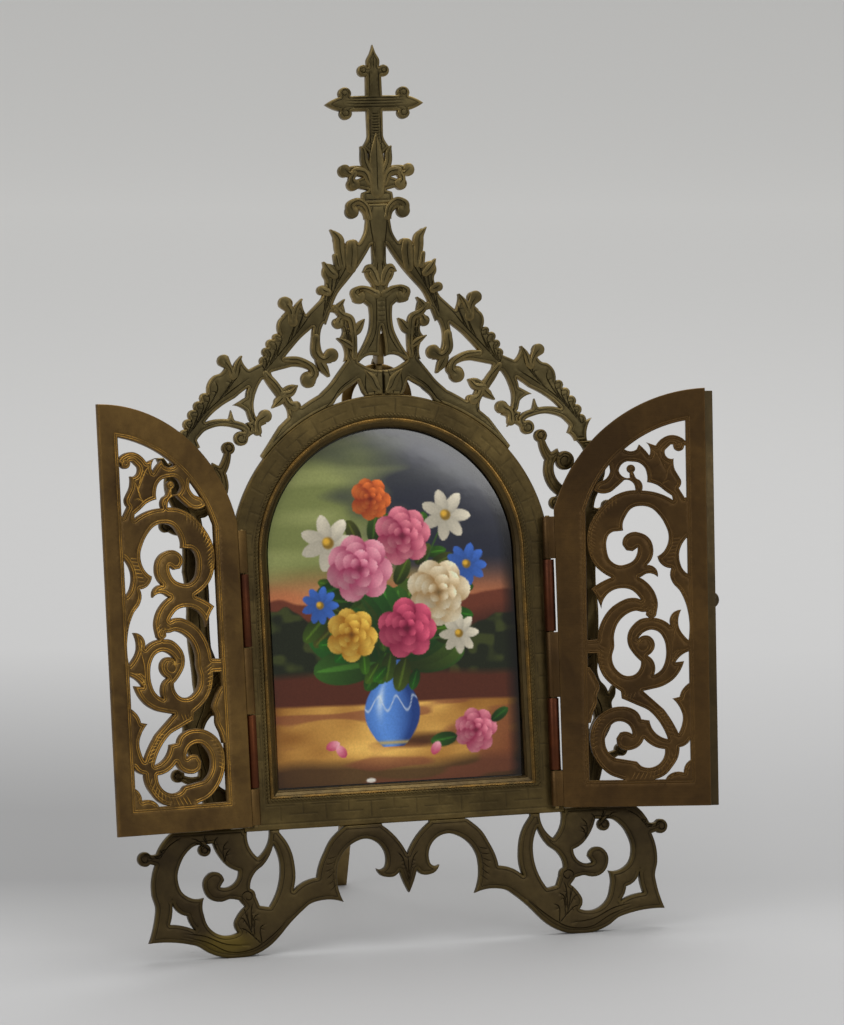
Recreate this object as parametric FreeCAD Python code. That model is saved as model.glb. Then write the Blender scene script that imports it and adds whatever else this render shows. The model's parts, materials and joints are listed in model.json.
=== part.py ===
import FreeCAD, Part
import math
import os

from FreeCAD import Vector

# Brass table altar: a pierced front frame with a cross-topped gable and scroll feet, a domed
# plaque behind a bevelled rim, two pierced doors on pin hinges, a wall ring and a folding strut.
#
# Everything is drawn on the upright plate first: X to the right, Y to the back and Z up the plate,
# with the plate's front face at Y = 0 and Z = 0 at the tip of the pendant below the frame.
# place() then leans the plate back and stands it on the floor. Millimetres throughout.

# How it stands
LEAN = 10.64                # the plate leans back from the upright, in degrees
FLOOR_AT_FRONT = -15.9      # where the floor meets the plate's front face
BEND_Z = 151.0              # above this height the gable is bent forward
BEND = 4.2                  # by this many degrees, so it stands nearer the upright than the frame
LEFT_DOOR_OPEN = 164.5      # opened from closed, in degrees
RIGHT_DOOR_OPEN = 167.0
RIGHT_LEAN = 1.1            # the right hinge leans outward at its top by this many degrees

# Castings and the frame round the picture
CASTING = 2.4               # thickness of the pierced castings
ARCH_CENTRE = 101.5         # height of the centre of the round arch
PICTURE_HALF = 38.5         # half the width of the picture opening
PICTURE_SILL = 33.0
RIM = 3.0                   # width of the bevelled rim round the picture
RIM_SILL = 2.5              # the same along the sill
RIM_BEVEL = 2.1             # width of its bevel
RIM_THROAT = 1.6            # how deep the bevel goes
BORDER_HALF = 49.8          # half the width of the frame's border
BORDER_TOP = 150.0
SILL_HALF = 50.0            # half the width of the broader sill
SILL_TOP = 31.0
FRAME_BOTTOM = 21.2
CROSS_SEAT = 207.4          # where the cross stands on the gable
COLLAR_HALF = 4.95          # half the width of the collar it stands on
SCROLL_TOP = 133.6          # where the side scrolls meet the gable
SCROLL_FOOT = 22.4          # where they meet the foot casting

# Layers behind the frame, by the Y of each face
RIM_FRONT = 0.0
PLAQUE_FRONT = 3.2
PLAQUE_BACK = 5.4
PLAQUE_RISE = 1.9           # how far the plaque's dome stands proud of its edge
PLAQUE_REACH = 66.0         # where the dome meets that edge, from its middle
PLAQUE_EASE = 0.4           # room between the dome and the rim
COVER_INNER = 6.6
SHEET = 0.8
COVER_OUTER = COVER_INNER + SHEET
PLAQUE_MARGIN = 3.9         # how far the plaque reaches past the picture opening
COVER_MARGIN = 4.5          # the same for the inside of the back cover
FLANGE = 4.2                # width of the cover's flange

# Doors and their hinges
DOOR = 1.8                  # thickness of a door
DOOR_GAP = 0.4              # between a closed door and the frame
HINGE_X = 47.0
HINGE_Y = -DOOR - DOOR_GAP
HINGE_FOOT = 23.0           # height that the right hinge leans from
BARREL_R = 1.6
PIN_R = 0.7
DOOR_BORE_R = 0.76
DOOR_WIDTH = 46.8
DOOR_EDGE = 2.0             # from the hinge axis to the door's own edge
DOOR_BOTTOM = 22.7
DOOR_ARCH_CENTRE = (47.0, 103.4)
DOOR_ARCH_R = 46.0
DOOR_ARCH_MIDDLE = 128.0    # where the middle of that arc lies, in degrees
OPENING_MIDDLE = 130.0      # the same for the opening's arc
RAIL_TOP = 30.8
HINGE_STILE = 9.9
FREE_STILE = 40.7
KNUCKLE_GAP = 0.3
DOOR_KNUCKLES = ((23.0, 34.0), (56.0, 76.0), (98.0, 111.0))
FRAME_KNUCKLES = ((34.0, 56.0), (76.0, 98.0))
LUG_HALF = 1.3

# Meeting strip and knob on the right door
STRIP_FROM = 44.8
STRIP_TO = 49.3
STRIP = 1.2
STRIP_UNDERCUT = 0.35
STRIP_TOP = 148.6
KNOB_U = 48.2
KNOB_Z = 85.0
KNOB_R = 2.6
KNOB_SIDES = 16

# Wall ring and its staple
RING_MEAN_R = 9.5
RING_BAND = 3.0
RING_THICK = 1.4
RING_PIVOT = (6.8, 158.2)   # Y and Z of the eye's centre
EYE_INNER_R = 2.1
EYE_OUTER_R = 3.3
EYE_HALF = 1.0
EYE_SIDES = 14
STAPLE_HALF = 3.2           # half the width of the soldered plate that the eye stands on
STAPLE_SPAN = (162.2, 168.4)
STAPLE_PLATE = 1.0
STAPLE_WEB_TOP = 164.4
RING_SIDES = 36

# Folding strut
STRUT_PIN_Z = 128.0
BRACKET_BASE = 1.0
STRUT_PIN_Y = COVER_OUTER + BRACKET_BASE + 3.2
STRUT_PIN_R = 1.0
STRUT_BARREL_R = 2.5
STRUT_BORE_R = 1.06
STRUT_HALF = 3.8
STRUT_TIP_HALF = 1.8
STRUT_THICK = 2.4
STRUT_REACH = 81.0          # the Y of its tip on the floor
STRUT_SHOULDER = 12.0       # from the pin to where the bar starts to taper
STRUT_WAIST = (30.0, 2.5)   # distance from the pin and half width further down
STRUT_CALF = (60.0, 2.3)
STRUT_SPARE = 4.0           # length beyond the floor, cut off level with it
HEEL_GAP = 0.35             # between the strut's heel and the bracket when it is open
HEEL_TOP = 4.2
HEEL_BACK = 0.8
EAR = 1.4
EAR_GAP = 0.3
EAR_R = 3.4
EAR_FOOT = (121.0, 135.0)   # where the ears meet the bracket's base
BRACKET_SPAN = (119.5, 136.5)

# How outlines are drawn: small arcs in chords, which keeps the castings light
ROUND_RADIUS = 30.0         # arcs up to this radius are drawn in chords
CHORD_BOW = 0.14            # how far an arc stands proud of its chord
CHORD_TURN = 0.62           # the most that a chord turns by, in radians
FLAT_BOW = 0.12             # arcs that bow out less than this are drawn straight
BALL_SIDES = 10

X_AXIS = Vector(1, 0, 0)
Y_AXIS = Vector(0, 1, 0)
Z_AXIS = Vector(0, 0, 1)
CENTRE = Vector(0, 0, 0)


def at(x, z, y=0.0):
    return Vector(x, y, z)


def floor_z(y):
    """Height on the leaning plate at which the floor lies, y behind its front face."""
    return FLOOR_AT_FRONT + y * math.tan(math.radians(LEAN))


def arc_edges(first, middle, last):
    """Edges of an arc through three points: a true arc when it is large, else a few chords."""
    bow = (middle - first).cross(last - first).Length / (last - first).Length if first != last else 1.0
    if bow < FLAT_BOW:
        return [Part.makeLine(first, last)]
    arc = Part.Arc(first, middle, last).toShape()
    r = arc.Curve.Radius
    if r > ROUND_RADIUS:
        return [arc]
    step = min(CHORD_TURN, 2.0 * math.acos(1.0 - CHORD_BOW / r))
    chords = max(2, round(arc.Length / r / step))
    points = [first] + arc.discretize(Number=chords + 1)[1:-1] + [last]
    return [Part.makeLine(a, b) for a, b in zip(points, points[1:])]


def chain(points):
    """Edges of arcs that follow one another through the points, each through three of them."""
    edges = []
    for index in range(0, len(points) - 2, 2):
        edges += arc_edges(*points[index:index + 3])
    if len(points) % 2 == 0:
        edges.append(Part.makeLine(points[-2], points[-1]))
    return edges


def outline(start, *runs):
    """Flat face bounded by runs that each start where the last one ended and come back to start.

    A run of one point is a straight edge, and one of more points a chain of arcs through them."""
    edges = []
    here = start
    for run in runs:
        edges += chain([at(*here)] + [at(*point) for point in run])
        here = run[-1]
    if here != start:
        edges.append(Part.makeLine(at(*here), at(*start)))
    return Part.Face(Part.Wire(edges))


def ball(x, z, r):
    """Round boss at the end of a scroll, with BALL_SIDES flats."""
    turns = [2.0 * math.pi * side / BALL_SIDES for side in range(BALL_SIDES + 1)]
    return Part.Face(Part.makePolygon([at(x + r * math.cos(turn), z + r * math.sin(turn)) for turn in turns]))


def band(points, widths):
    """Strip along a smooth line through the points, with its full width given at each of them."""
    line = Part.BSplineCurve()
    line.interpolate([at(*point) for point in points])
    stops = [line.parameter(at(*point)) for point in points]
    between = 2 if len(points) > 3 else 1
    left = []
    right = []
    for index, stop in enumerate(stops):
        steps = between if index + 1 < len(stops) else 1
        for step in range(steps):
            share = step / 2.0
            follow = min(index + 1, len(stops) - 1)
            where = stop + share * (stops[follow] - stop)
            half = (widths[index] + share * (widths[follow] - widths[index])) / 2.0
            ahead = line.tangent(where)[0]
            aside = Vector(ahead.z, 0, -ahead.x) * half
            left.append(line.value(where) + aside)
            right.append(line.value(where) - aside)
    edges = chain(left) + chain(right)
    edges += [Part.makeLine(left[0], right[0]), Part.makeLine(left[-1], right[-1])]
    return Part.Face(Part.Wire(Part.sortEdges(edges)[0]))


def joined(shapes, holes=()):
    """One flat face from overlapping ones, less the holes."""
    faces = [face for shape in shapes for face in shape.Faces]
    for face in faces:
        if face.normalAt(0.5, 0.5).y < 0:
            face.reverse()
    whole = faces[0].multiFuse(faces[1:])
    if holes:
        whole = whole.cut(list(holes))
    whole = whole.removeSplitter()
    if len(whole.Faces) != 1:
        raise RuntimeError("a plate came out in %d pieces" % len(whole.Faces))
    return whole.Faces[0]


def plate(shapes, holes=(), y=0.0, thick=CASTING):
    """One pierced plate from overlapping flat shapes, less the holes."""
    solid = joined(shapes, holes).extrude(Y_AXIS * thick)
    solid.translate(Y_AXIS * y)
    return solid


def bent_plate(shapes, holes=()):
    """A pierced casting that is bent forward above BEND_Z."""
    face = joined(shapes, holes)
    below = face.common(rectangle((-100, 100), (0, BEND_Z)))
    above = face.common(rectangle((-100, 100), (BEND_Z, 300)))
    above.rotate(at(0, BEND_Z), X_AXIS, BEND)
    solids = [part.extrude(Y_AXIS * CASTING) for part in below.Faces + above.Faces]
    return solids[0] if len(solids) == 1 else solids[0].multiFuse(solids[1:]).removeSplitter()


def rectangle(x, z):
    """Flat face between two values of X and two of Z."""
    return outline((x[0], z[0]), [(x[1], z[0])], [(x[1], z[1])], [(x[0], z[1])])


def mirrored(shape):
    return shape.mirror(CENTRE, X_AXIS)


def both_sides(faces):
    return faces + [mirrored(face) for face in faces]


def box(x, y, z):
    """Block between two values of each coordinate."""
    return Part.makeBox(x[1] - x[0], y[1] - y[0], z[1] - z[0], Vector(x[0], y[0], z[0]))


def rod(r, low, high, axis):
    """Round bar of radius r from one point to another along axis."""
    return Part.makeCylinder(r, (high - low).Length, low, axis)


def arch_wire(half, sill, y=0.0):
    """Outline of an arch of a half width on a sill, round the common centre."""
    spring = ARCH_CENTRE
    corners = [at(-half, spring, y), at(-half, sill, y), at(half, sill, y), at(half, spring, y)]
    edges = [Part.makeLine(a, b) for a, b in zip(corners, corners[1:])]
    edges.append(Part.Arc(corners[3], at(0, spring + half, y), corners[0]).toShape())
    return Part.Wire(edges)


def arch(margin, y, thick):
    """Solid arch that reaches margin past the picture opening all round."""
    face = Part.Face(arch_wire(PICTURE_HALF + margin, PICTURE_SILL - margin, y))
    return face.extrude(Y_AXIS * thick)


def border_face():
    """Outline of the frame's border: a round arch on a slightly broader sill."""
    return outline(
        (-SILL_HALF, FRAME_BOTTOM),
        [(SILL_HALF, FRAME_BOTTOM)],
        [(SILL_HALF, SILL_TOP)],
        [(BORDER_HALF, SILL_TOP + 1.5)],
        [(BORDER_HALF, BORDER_TOP - BORDER_HALF)],
        [(0, BORDER_TOP), (-BORDER_HALF, BORDER_TOP - BORDER_HALF)],
        [(-BORDER_HALF, SILL_TOP + 1.5)],
        [(-SILL_HALF, SILL_TOP)],
    )


# The gable

def gable_column():
    """Half of the leafy column that stands in the middle of the gable."""
    return [
        outline(
            (0, 198),
            [(2.3, 198)],
            [(2.1, 190)],
            [(3.1, 188), (4.7, 187.3)],
            [(4.1, 185.2), (2.7, 183.2), (2.2, 181.4)],
            [(4.0, 182.7), (6.4, 182.0)],
            [(6.4, 179.7)],
            [(5.0, 177.6), (3.7, 176.6), (3.5, 174.5), (3.5, 172)],
            [(3.9, 169.5), (5.0, 166.8), (8.6, 161.0)],
            [(7.2, 159.9)],
            [(3.6, 161.9), (0.9, 161.4)],
            [(0.7, 166), (0, 170.5)],
        ),
        ball(6.4, 179.7, 2.3),
    ]


def gable_keystone():
    """Half of the keystone over the arch, with the inner ogee bar that runs down from it."""
    return [
        outline(
            (0, 157.3),
            [(4.0, 158.0), (7.3, 159.8)],
            [(8.4, 161.4)],
            [(9.5, 162.6)],
            [(11.6, 159.8), (14, 157), (17, 153.3), (20, 150.6), (27, 146.4), (33, 141.4), (39, 133)],
            [(36, 129)],
            [(17.5, 142)],
            [(17.2, 145.7)],
            [(12.6, 151.2), (7.8, 154.3)],
            [(6.9, 151.5), (4.6, 148)],
            [(4, 145)],
            [(0, 145)],
        ),
    ]


def gable_sprig():
    """Small leaf that grows from the inner bar."""
    return [
        outline(
            (8.8, 161.6),
            [(9.9, 164.5), (9.6, 166.6)],
            [(7.4, 169.0), (6, 172.5)],
            [(8.6, 170.6), (10.6, 170.4)],
            [(11.0, 174.5), (11.9, 178.3)],
            [(13.2, 174.8), (12.7, 171.2)],
            [(12.2, 168.6), (13.6, 167)],
            [(12.2, 165.2), (12.0, 160.2)],
        ),
        ball(13.7, 171.9, 1.5),
        band([(12.0, 174.5), (14.2, 175.8), (17.0, 176.2)], [1.6, 1.6, 2.0]),
    ]


def gable_top():
    """Upper ogee bar with its crocket, under the cross."""
    return [
        outline(
            (0, CROSS_SEAT),
            [(4.6, CROSS_SEAT)],
            [(4.2, 205), (3.8, 202), (4.7, 198), (6.3, 195.6)],
            [(7.6, 196.8), (8.9, 196.6), (10.3, 195.1)],
            [(11.7, 197.6), (13.5, 199.6)],
            [(14.1, 197.2), (13.4, 194.5), (12.1, 192.2)],
            [(13.1, 192.2), (13.8, 191.4)],
            [(13.9, 189.8), (13.4, 188.4)],
            [(15.1, 189.6), (16.6, 189.8)],
            [(17.8, 187.6), (17, 184.8)],
            [(17.4, 181.5), (19.5, 178)],
            [(17.2, 171.5)],
            [(15.5, 176)],
            [(14.4, 178.7), (10, 184.5), (5.6, 190), (2.4, 195)],
            [(0, 196)],
        ),
        ball(18.3, 181.8, 1.4),
        band([(2.5, 203.2), (5.0, 206.6), (7.6, 207.0)], [3.6, 2.4, 1.8]),
        ball(8.0, 205.1, 2.1),
    ]


def gable_shoulder():
    """Middle ogee bar with its crocket, and the two scrolls under it."""
    return [
        outline(
            (17.0, 172),
            [(17.4, 180.2)],
            [(20.6, 177.2), (23.3, 174.7)],
            [(24.2, 176.8), (24.5, 179)],
            [(25.7, 177.3), (27.6, 176.4)],
            [(28.6, 175.8), (30, 175)],
            [(32.2, 172.2), (31.8, 169)],
            [(33.3, 169.2), (33.7, 167.6)],
            [(35.4, 167.4), (35.5, 165.3)],
            [(36.9, 164.9), (36.6, 162.8)],
            [(37.8, 162.2), (37.9, 160.3)],
            [(37.0, 156.6)],
            [(33.6, 158.2)],
            [(30.2, 162.3), (25.6, 167.3), (21.6, 170.6)],
        ),
        ball(29.2, 178.2, 1.9),
        band([(27.6, 177.2), (28.4, 175.4), (29.6, 173.6)], [1.6, 2.2, 3.0]),
        band([(17.2, 175.6), (20.0, 170.6), (20.3, 165.2), (18.7, 161.4), (16.0, 160.7)],
             [3.2, 2.7, 2.4, 2.2, 1.6]),
        ball(16.0, 162.1, 2.0),
        outline(
            (18.2, 162.4),
            [(20.9, 161.6)],
            [(19.8, 158.4), (17.0, 156.8)],
            [(17.8, 158.8), (16.8, 160.4)],
        ),
        band([(22.0, 155.2), (21.0, 157.6), (23.6, 159.8), (28.5, 160.6), (35.5, 159.6)],
             [1.8, 2.2, 2.5, 2.8, 3.8]),
        ball(23.1, 155.4, 2.4),
    ]


def gable_end():
    """Outer ogee bar with its crocket, the scrolls under it and the leaf at its foot."""
    return [
        outline(
            (34.0, 161.6),
            [(38.4, 160.4), (41.6, 158.9)],
            [(43.1, 160.7), (43.8, 162.7)],
            [(45.0, 160.5), (46.8, 159.2)],
            [(48.4, 158.9), (50, 158.2)],
            [(53.6, 156.2), (54.5, 152.2)],
            [(56.4, 152.0), (56.6, 149.9)],
            [(58.4, 149.6), (58.6, 147.5)],
            [(60.3, 147.0), (60.4, 144.8)],
            [(62.0, 144.2), (61.7, 141.8)],
            [(63.2, 141.2), (63.0, 138.8)],
            [(61.2, 137.4)],
            [(57.5, 141.6)],
            [(54, 145.4), (46, 150.6), (41, 154), (36, 156.2)],
        ),
        ball(49.0, 161.6, 1.7),
        band([(47.4, 160.6), (48.2, 158.6), (49.6, 156.6)], [1.6, 2.2, 3.0]),
        band([(38.2, 157.6), (41.2, 151.6), (41.6, 146.6), (40.0, 143.0), (37.2, 143.2)],
             [3.2, 2.8, 2.4, 2.2, 1.6]),
        ball(37.0, 144.8, 2.0),
        outline(
            (40.8, 151.8),
            [(43.6, 150.2), (46.8, 148.4)],
            [(44.2, 147.6), (41.8, 145.6)],
        ),
        outline(
            (39.4, 144.0),
            [(43.0, 143.0)],
            [(41.8, 141.0), (42.2, 138.9)],
            [(40.4, 139.6), (38.5, 138.7)],
            [(39.0, 140.6), (38.2, 142.2)],
        ),
        band([(36.2, 158.2), (34.6, 154.6), (31.6, 151.2), (29.2, 147.8), (28.6, 143.6)],
             [2.6, 2.5, 3.4, 2.8, 2.8]),
        outline((31.2, 152.8), [(29.6, 153.8), (27.0, 153.7)], [(28.6, 151.8), (29.6, 148.6)]),
        outline((32.8, 150.8), [(34.0, 149.4), (34.0, 147.7)], [(32.2, 148.4), (29.6, 148.2)]),
        ball(27.4, 147.4, 1.6),
        band([(43.8, 138.4), (42.9, 140.8), (46.0, 142.6), (51.0, 143.4), (56.6, 142.0), (61.2, 137.6)],
             [1.8, 2.2, 2.2, 2.2, 2.6, 4.4]),
        ball(44.8, 138.4, 2.2),
        outline((45.0, 142.2), [(46.8, 144.4), (47.5, 147)], [(48.2, 144.8), (49.8, 143.2)]),
        outline(
            (58.6, 140.8),
            [(62.0, 139.6), (65.5, 140.5)],
            [(63.8, 137.4), (63.6, SCROLL_TOP)],
            [(59.8, SCROLL_TOP)],
            [(59.0, 135.2), (57.5, 136.2)],
            [(58.4, 138.4), (58.6, 140.8)],
        ),
    ]


def gable_crest():
    half = gable_column() + gable_keystone() + gable_sprig() + gable_top()
    half += gable_shoulder() + gable_end()
    collar = rectangle((-COLLAR_HALF, COLLAR_HALF), (CROSS_SEAT, CROSS_SEAT + 4))
    return bent_plate(both_sides(half), [border_face(), collar])


def cross_finial():
    """The cross with its leafy foot and collar, cast apart and set on the gable."""
    half = [
        outline(
            (0, 255),
            [(0.9, 252.4), (2.0, 250.2)],
            [(1.7, 248.6), (2.4, 246.4)],
            [(2.5, 239.8)],
            [(10.3, 239.7)],
            [(12.6, 238.9), (15.3, 237.3)],
            [(12.6, 235.8), (10.3, 235.1)],
            [(2.5, 235.1)],
            [(2.4, 228)],
            [(3.3, 225.6), (4.8, 224)],
            [(3.3, 223.4), (2.3, 222.3)],
            [(2.5, 220.2), (3.5, 218.4)],
            [(6.2, 218.9), (9.0, 218.6)],
            [(10.0, 217.3)],
            [(7.2, 215.9), (4.4, 215.4)],
            [(6.6, 214.6)],
            [(7.4, 212.4)],
            [(5.0, 211.9), (2.9, 211.4)],
            [(4.6, 210.8)],
            [(COLLAR_HALF, 209.1), (4.6, CROSS_SEAT)],
            [(0, CROSS_SEAT)],
        ),
        ball(3.1, 247.2, 1.8),
        ball(9.1, 240.4, 2.0),
        ball(9.0, 234.6, 1.95),
        ball(10.0, 217.3, 1.9),
        ball(7.5, 213.2, 1.9),
    ]
    return bent_plate(both_sides(half))


# The scrolls beside the frame, behind the doors

def side_scroll():
    """Right side scroll: a wavy strip with balls, tied to the frame at three places."""
    faces = [
        band([(61.6, 135.5), (65.6, 129.5), (66.0, 123.5), (62.6, 117.5), (61.0, 110), (61.2, 99)],
             [4.0, 5.0, 5.4, 6.4, 6.6, 7.2]),
        band([(61.2, 100), (60.6, 88), (60.6, 76), (58.8, 66.5), (60.8, 58)],
             [7.2, 6.8, 6.8, 9.0, 7.2]),
        band([(60.4, 59), (63.8, 53.5), (64.0, 48), (60.8, 41.5), (60.4, 35), (58.0, 28.5), (57.6, 21)],
             [7.2, 6.6, 5.6, 5.0, 5.6, 6.0, 7.0]),
        band([(60.5, 116.5), (55.0, 118.2), (51.6, 122), (51.2, 127.2), (54.4, 130.4)],
             [3.4, 3.4, 3.2, 3.0, 2.4]),
        ball(56.2, 127.8, 2.9),
        band([(51.8, 127.8), (50.0, 131.2), (48.8, 135.2)], [3.0, 2.6, 1.8]),
        ball(48.9, 135.6, 2.0),
        band([(56.5, 117.6), (53.8, 116.4), (52.4, 115.2)], [3.0, 2.2, 1.8]),
        ball(52.6, 115.0, 2.0),
        band([(65.6, 128.5), (68.6, 131.2), (70.6, 134.6)], [3.4, 2.4, 1.8]),
        ball(70.6, 135.0, 1.8),
        band([(62.0, 112.0), (65.6, 111.6), (69.0, 112.8)], [4.0, 2.6, 1.8]),
        ball(69.2, 113.3, 2.0),
        band([(59.5, 37.5), (65.0, 37.2), (69.0, 38.6)], [4.0, 2.6, 1.8]),
        ball(69.3, 39.0, 2.0),
        band([(63.4, 53.2), (66.8, 55.4), (68.0, 58.6)], [4.2, 2.6, 0.8]),
        band([(47.5, 66.0), (53.0, 65.0), (58.6, 67.0)], [6.0, 4.0, 6.0]),
        band([(47.5, 32.5), (53.0, 31.4), (58.6, 33.0)], [5.0, 4.2, 6.0]),
    ]
    above = outline((40, SCROLL_TOP), [(75, SCROLL_TOP)], [(75, 145)], [(58, 145)], [(58, SCROLL_TOP)])
    below = outline((40, SCROLL_FOOT), [(75, SCROLL_FOOT)], [(75, 15)], [(40, 15)])
    return plate(faces, [border_face(), above, below])


# The feet

def foot_scrollwork():
    """Both scroll feet and the pendant between them, one casting under the frame."""
    shoulder = SCROLL_FOOT
    half = outline(
        (0, 11.6),
        [(3.2, 16.8), (7.4, 20.7)],
        [(7.4, FRAME_BOTTOM)],
        [(18.2, FRAME_BOTTOM)],
        [(21.9, 18.9), (25.6, 13.8), (27.6, 9.5), (28.4, 6.3)],
        [(32.4, 5.3), (35.9, 2.9)],
        [(35.0, 7), (35.1, 10.5), (36.0, 15), (39.2, 20.4)],
        [(39.2, FRAME_BOTTOM)],
        [(42.2, FRAME_BOTTOM)],
        [(43.2, 16.8), (46.2, 13.4)],
        [(48.5, 16.4), (49.2, FRAME_BOTTOM)],
        [(SILL_HALF, FRAME_BOTTOM)],
        [(SILL_HALF, shoulder)],
        [(72, shoulder)],
        [(74.7, 20.0), (77.0, 16.4)],
        [(80.4, 16.2)],
        [(80.4, 13.8)],
        [(77.6, 13.0)],
        [(79.0, 7), (78.0, 0), (78.9, -5), (80.6, -10)],
        [(72, -10.3), (66, -11.7), (60, -15), (54, -16.2), (48, -15.1), (40, -9.6), (35, -4.6),
         (31, -1.5), (26, -0.5), (20.5, -1.5)],
        [(22.1, 3.5), (21.6, 10.3), (18, 15), (13, 16.9), (8.9, 15.4), (6.8, 12), (7.0, 8.4)],
        [(8.4, 7.5), (9.8, 7.8)],
        [(8.6, 5.8), (6.5, 5), (4.2, 5.2), (2.7, 6.6)],
        [(1.7, 3.6), (0, 0)],
    )
    beside_ring = outline(
        (41.3, 17),
        [(39.9, 13.5), (39.6, 8), (41.2, 2.2), (43.4, -1.5)],
        [(46.4, -0.9)],
        [(47.0, 1.0), (49.2, 3.6)],
        [(48.8, 6.4), (47.2, 9.1)],
        [(44.2, 11.6), (41.3, 17)],
    )
    round_scroll = outline(
        (52.3, 9.7),
        [(55.0, 11.0), (57.6, 13.8), (59.8, 18.4)],
        [(65.0, 18.1)],
        [(67.7, 16.3), (70.1, 12.6), (71.0, 8.6), (69.9, 4.7), (67.2, 2.7), (63.3, 2.5)],
        [(63.9, 0), (63.5, -3), (62.2, -6.3), (58.4, -8.9), (53.4, -8.4)],
        [(54.4, -6.4), (53.6, -3.9), (50.9, -0.9)],
        [(52.6, 1.1)],
        [(55.0, 1.6), (58.0, 1.0), (61.4, 2.0), (63.2, 5.0), (62.8, 8.2), (60.3, 10)],
        [(57.9, 9.3), (56.9, 7.3), (58.2, 5.4)],
        [(55.2, 5.4), (52.3, 9.7)],
    )
    diamond = outline(
        (73.0, 1.5),
        [(73.2, -1.7), (74.0, -4.8)],
        [(70.0, -5.4), (66.5, -6.8)],
        [(67.9, -4.8), (68.6, -2.6)],
        [(71.4, -1.2), (73.0, 1.5)],
    )
    halves = both_sides([half, ball(80.6, 15.0, 2.2)])
    holes = both_sides([beside_ring, round_scroll, diamond])
    casting = plate(halves, holes)
    bosses = both_sides([ball(62.4, 16.6, 1.9), ball(50.0, 2.0, 2.6)])
    for boss in bosses:
        casting = casting.fuse(boss.extrude(Y_AXIS * CASTING))
    casting = casting.removeSplitter()
    under = box((-100, 100), (-20, 40), (-60, 0))
    under.rotate(CENTRE, X_AXIS, LEAN)
    under.translate(Z_AXIS * FLOOR_AT_FRONT)
    return casting.cut(under)


# The frame, the picture and what holds it

def arch_frame():
    rim_opening = Part.Face(arch_wire(PICTURE_HALF + RIM, PICTURE_SILL - RIM_SILL))
    return plate([border_face()], [rim_opening])


def plaque_bezel():
    """Bright rim in the frame's opening, bevelled towards the plaque, with a lip behind the frame."""
    outer = Part.Face(arch_wire(PICTURE_HALF + RIM, PICTURE_SILL - RIM_SILL, RIM_FRONT))
    rim = outer.extrude(Y_AXIS * (CASTING - RIM_FRONT))
    lip = arch(PLAQUE_MARGIN, CASTING, PLAQUE_FRONT - CASTING)
    back = arch_wire(PICTURE_HALF, PICTURE_SILL, PLAQUE_FRONT)
    middle = arch_wire(PICTURE_HALF, PICTURE_SILL, RIM_THROAT)
    front = arch_wire(PICTURE_HALF + RIM_BEVEL, PICTURE_SILL - RIM_BEVEL, RIM_FRONT)
    throat = Part.Face(back).extrude(Y_AXIS * (RIM_THROAT - PLAQUE_FRONT))
    bevel = Part.makeLoft([middle, front], True, True)
    return rim.fuse(lip).cut([throat, bevel]).removeSplitter()


def porcelain_plaque():
    """Arched plaque with a flat edge under the rim and a low dome that fills the opening."""
    body = arch(PLAQUE_MARGIN, PLAQUE_FRONT, PLAQUE_BACK - PLAQUE_FRONT)
    r = (PLAQUE_REACH ** 2 + PLAQUE_RISE ** 2) / (2.0 * PLAQUE_RISE)
    middle = (PICTURE_SILL + ARCH_CENTRE + PICTURE_HALF) / 2.0
    dome = Part.makeSphere(r, at(0, middle, PLAQUE_FRONT - PLAQUE_RISE + r))
    raised = arch(-PLAQUE_EASE, PLAQUE_FRONT - PLAQUE_RISE - 1.0, PLAQUE_RISE + 1.0)
    return body.fuse(raised.common(dome)).removeSplitter()


def packing_card():
    """Card that presses the plaque against the rim."""
    return arch(PLAQUE_MARGIN, PLAQUE_BACK, COVER_INNER - PLAQUE_BACK)


def back_cover():
    """Shallow arched tray of sheet brass over the back of the plaque, fixed by its flange."""
    flange = arch(COVER_MARGIN + FLANGE, CASTING, SHEET)
    tray = arch(COVER_MARGIN + SHEET, CASTING, COVER_OUTER - CASTING)
    inside = arch(COVER_MARGIN, CASTING, COVER_INNER - CASTING)
    return flange.fuse(tray).cut(inside).removeSplitter()


# Hinges, drawn for the left door

def hinge_point(z):
    return at(-HINGE_X, z, HINGE_Y)


def barrel(span, bore_r):
    """One hinge knuckle of the left door, between two heights."""
    low = hinge_point(span[0] + KNUCKLE_GAP / 2.0)
    high = hinge_point(span[1] - KNUCKLE_GAP / 2.0)
    return rod(BARREL_R, low, high, Z_AXIS), rod(bore_r, low, high, Z_AXIS)


def door_knuckles():
    """Knuckles with the short tongues that join them to the door's edge."""
    knuckles = []
    for span in DOOR_KNUCKLES:
        outside, bore = barrel(span, DOOR_BORE_R)
        low = span[0] + KNUCKLE_GAP / 2.0
        high = span[1] - KNUCKLE_GAP / 2.0
        tongue = box((-HINGE_X, -HINGE_X + DOOR_EDGE), (HINGE_Y, HINGE_Y + DOOR), (low, high))
        knuckles.append(outside.fuse(tongue).cut(bore).removeSplitter())
    return Part.makeCompound(knuckles)


def frame_knuckles():
    """Knuckles that stand on the frame's face on small lugs."""
    knuckles = []
    for span in FRAME_KNUCKLES:
        outside, bore = barrel(span, PIN_R)
        low = span[0] + KNUCKLE_GAP / 2.0
        high = span[1] - KNUCKLE_GAP / 2.0
        lug = box((-HINGE_X - LUG_HALF, -HINGE_X + LUG_HALF), (HINGE_Y, 0.0), (low, high))
        knuckles.append(outside.fuse(lug).cut(bore).removeSplitter())
    return Part.makeCompound(knuckles)


def hinge_pin():
    low = DOOR_KNUCKLES[0][0] - 0.6
    high = DOOR_KNUCKLES[-1][1] + 0.2
    return rod(PIN_R, hinge_point(low), hinge_point(high), Z_AXIS)


# The doors, drawn as (distance from the hinge axis, height)

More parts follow.
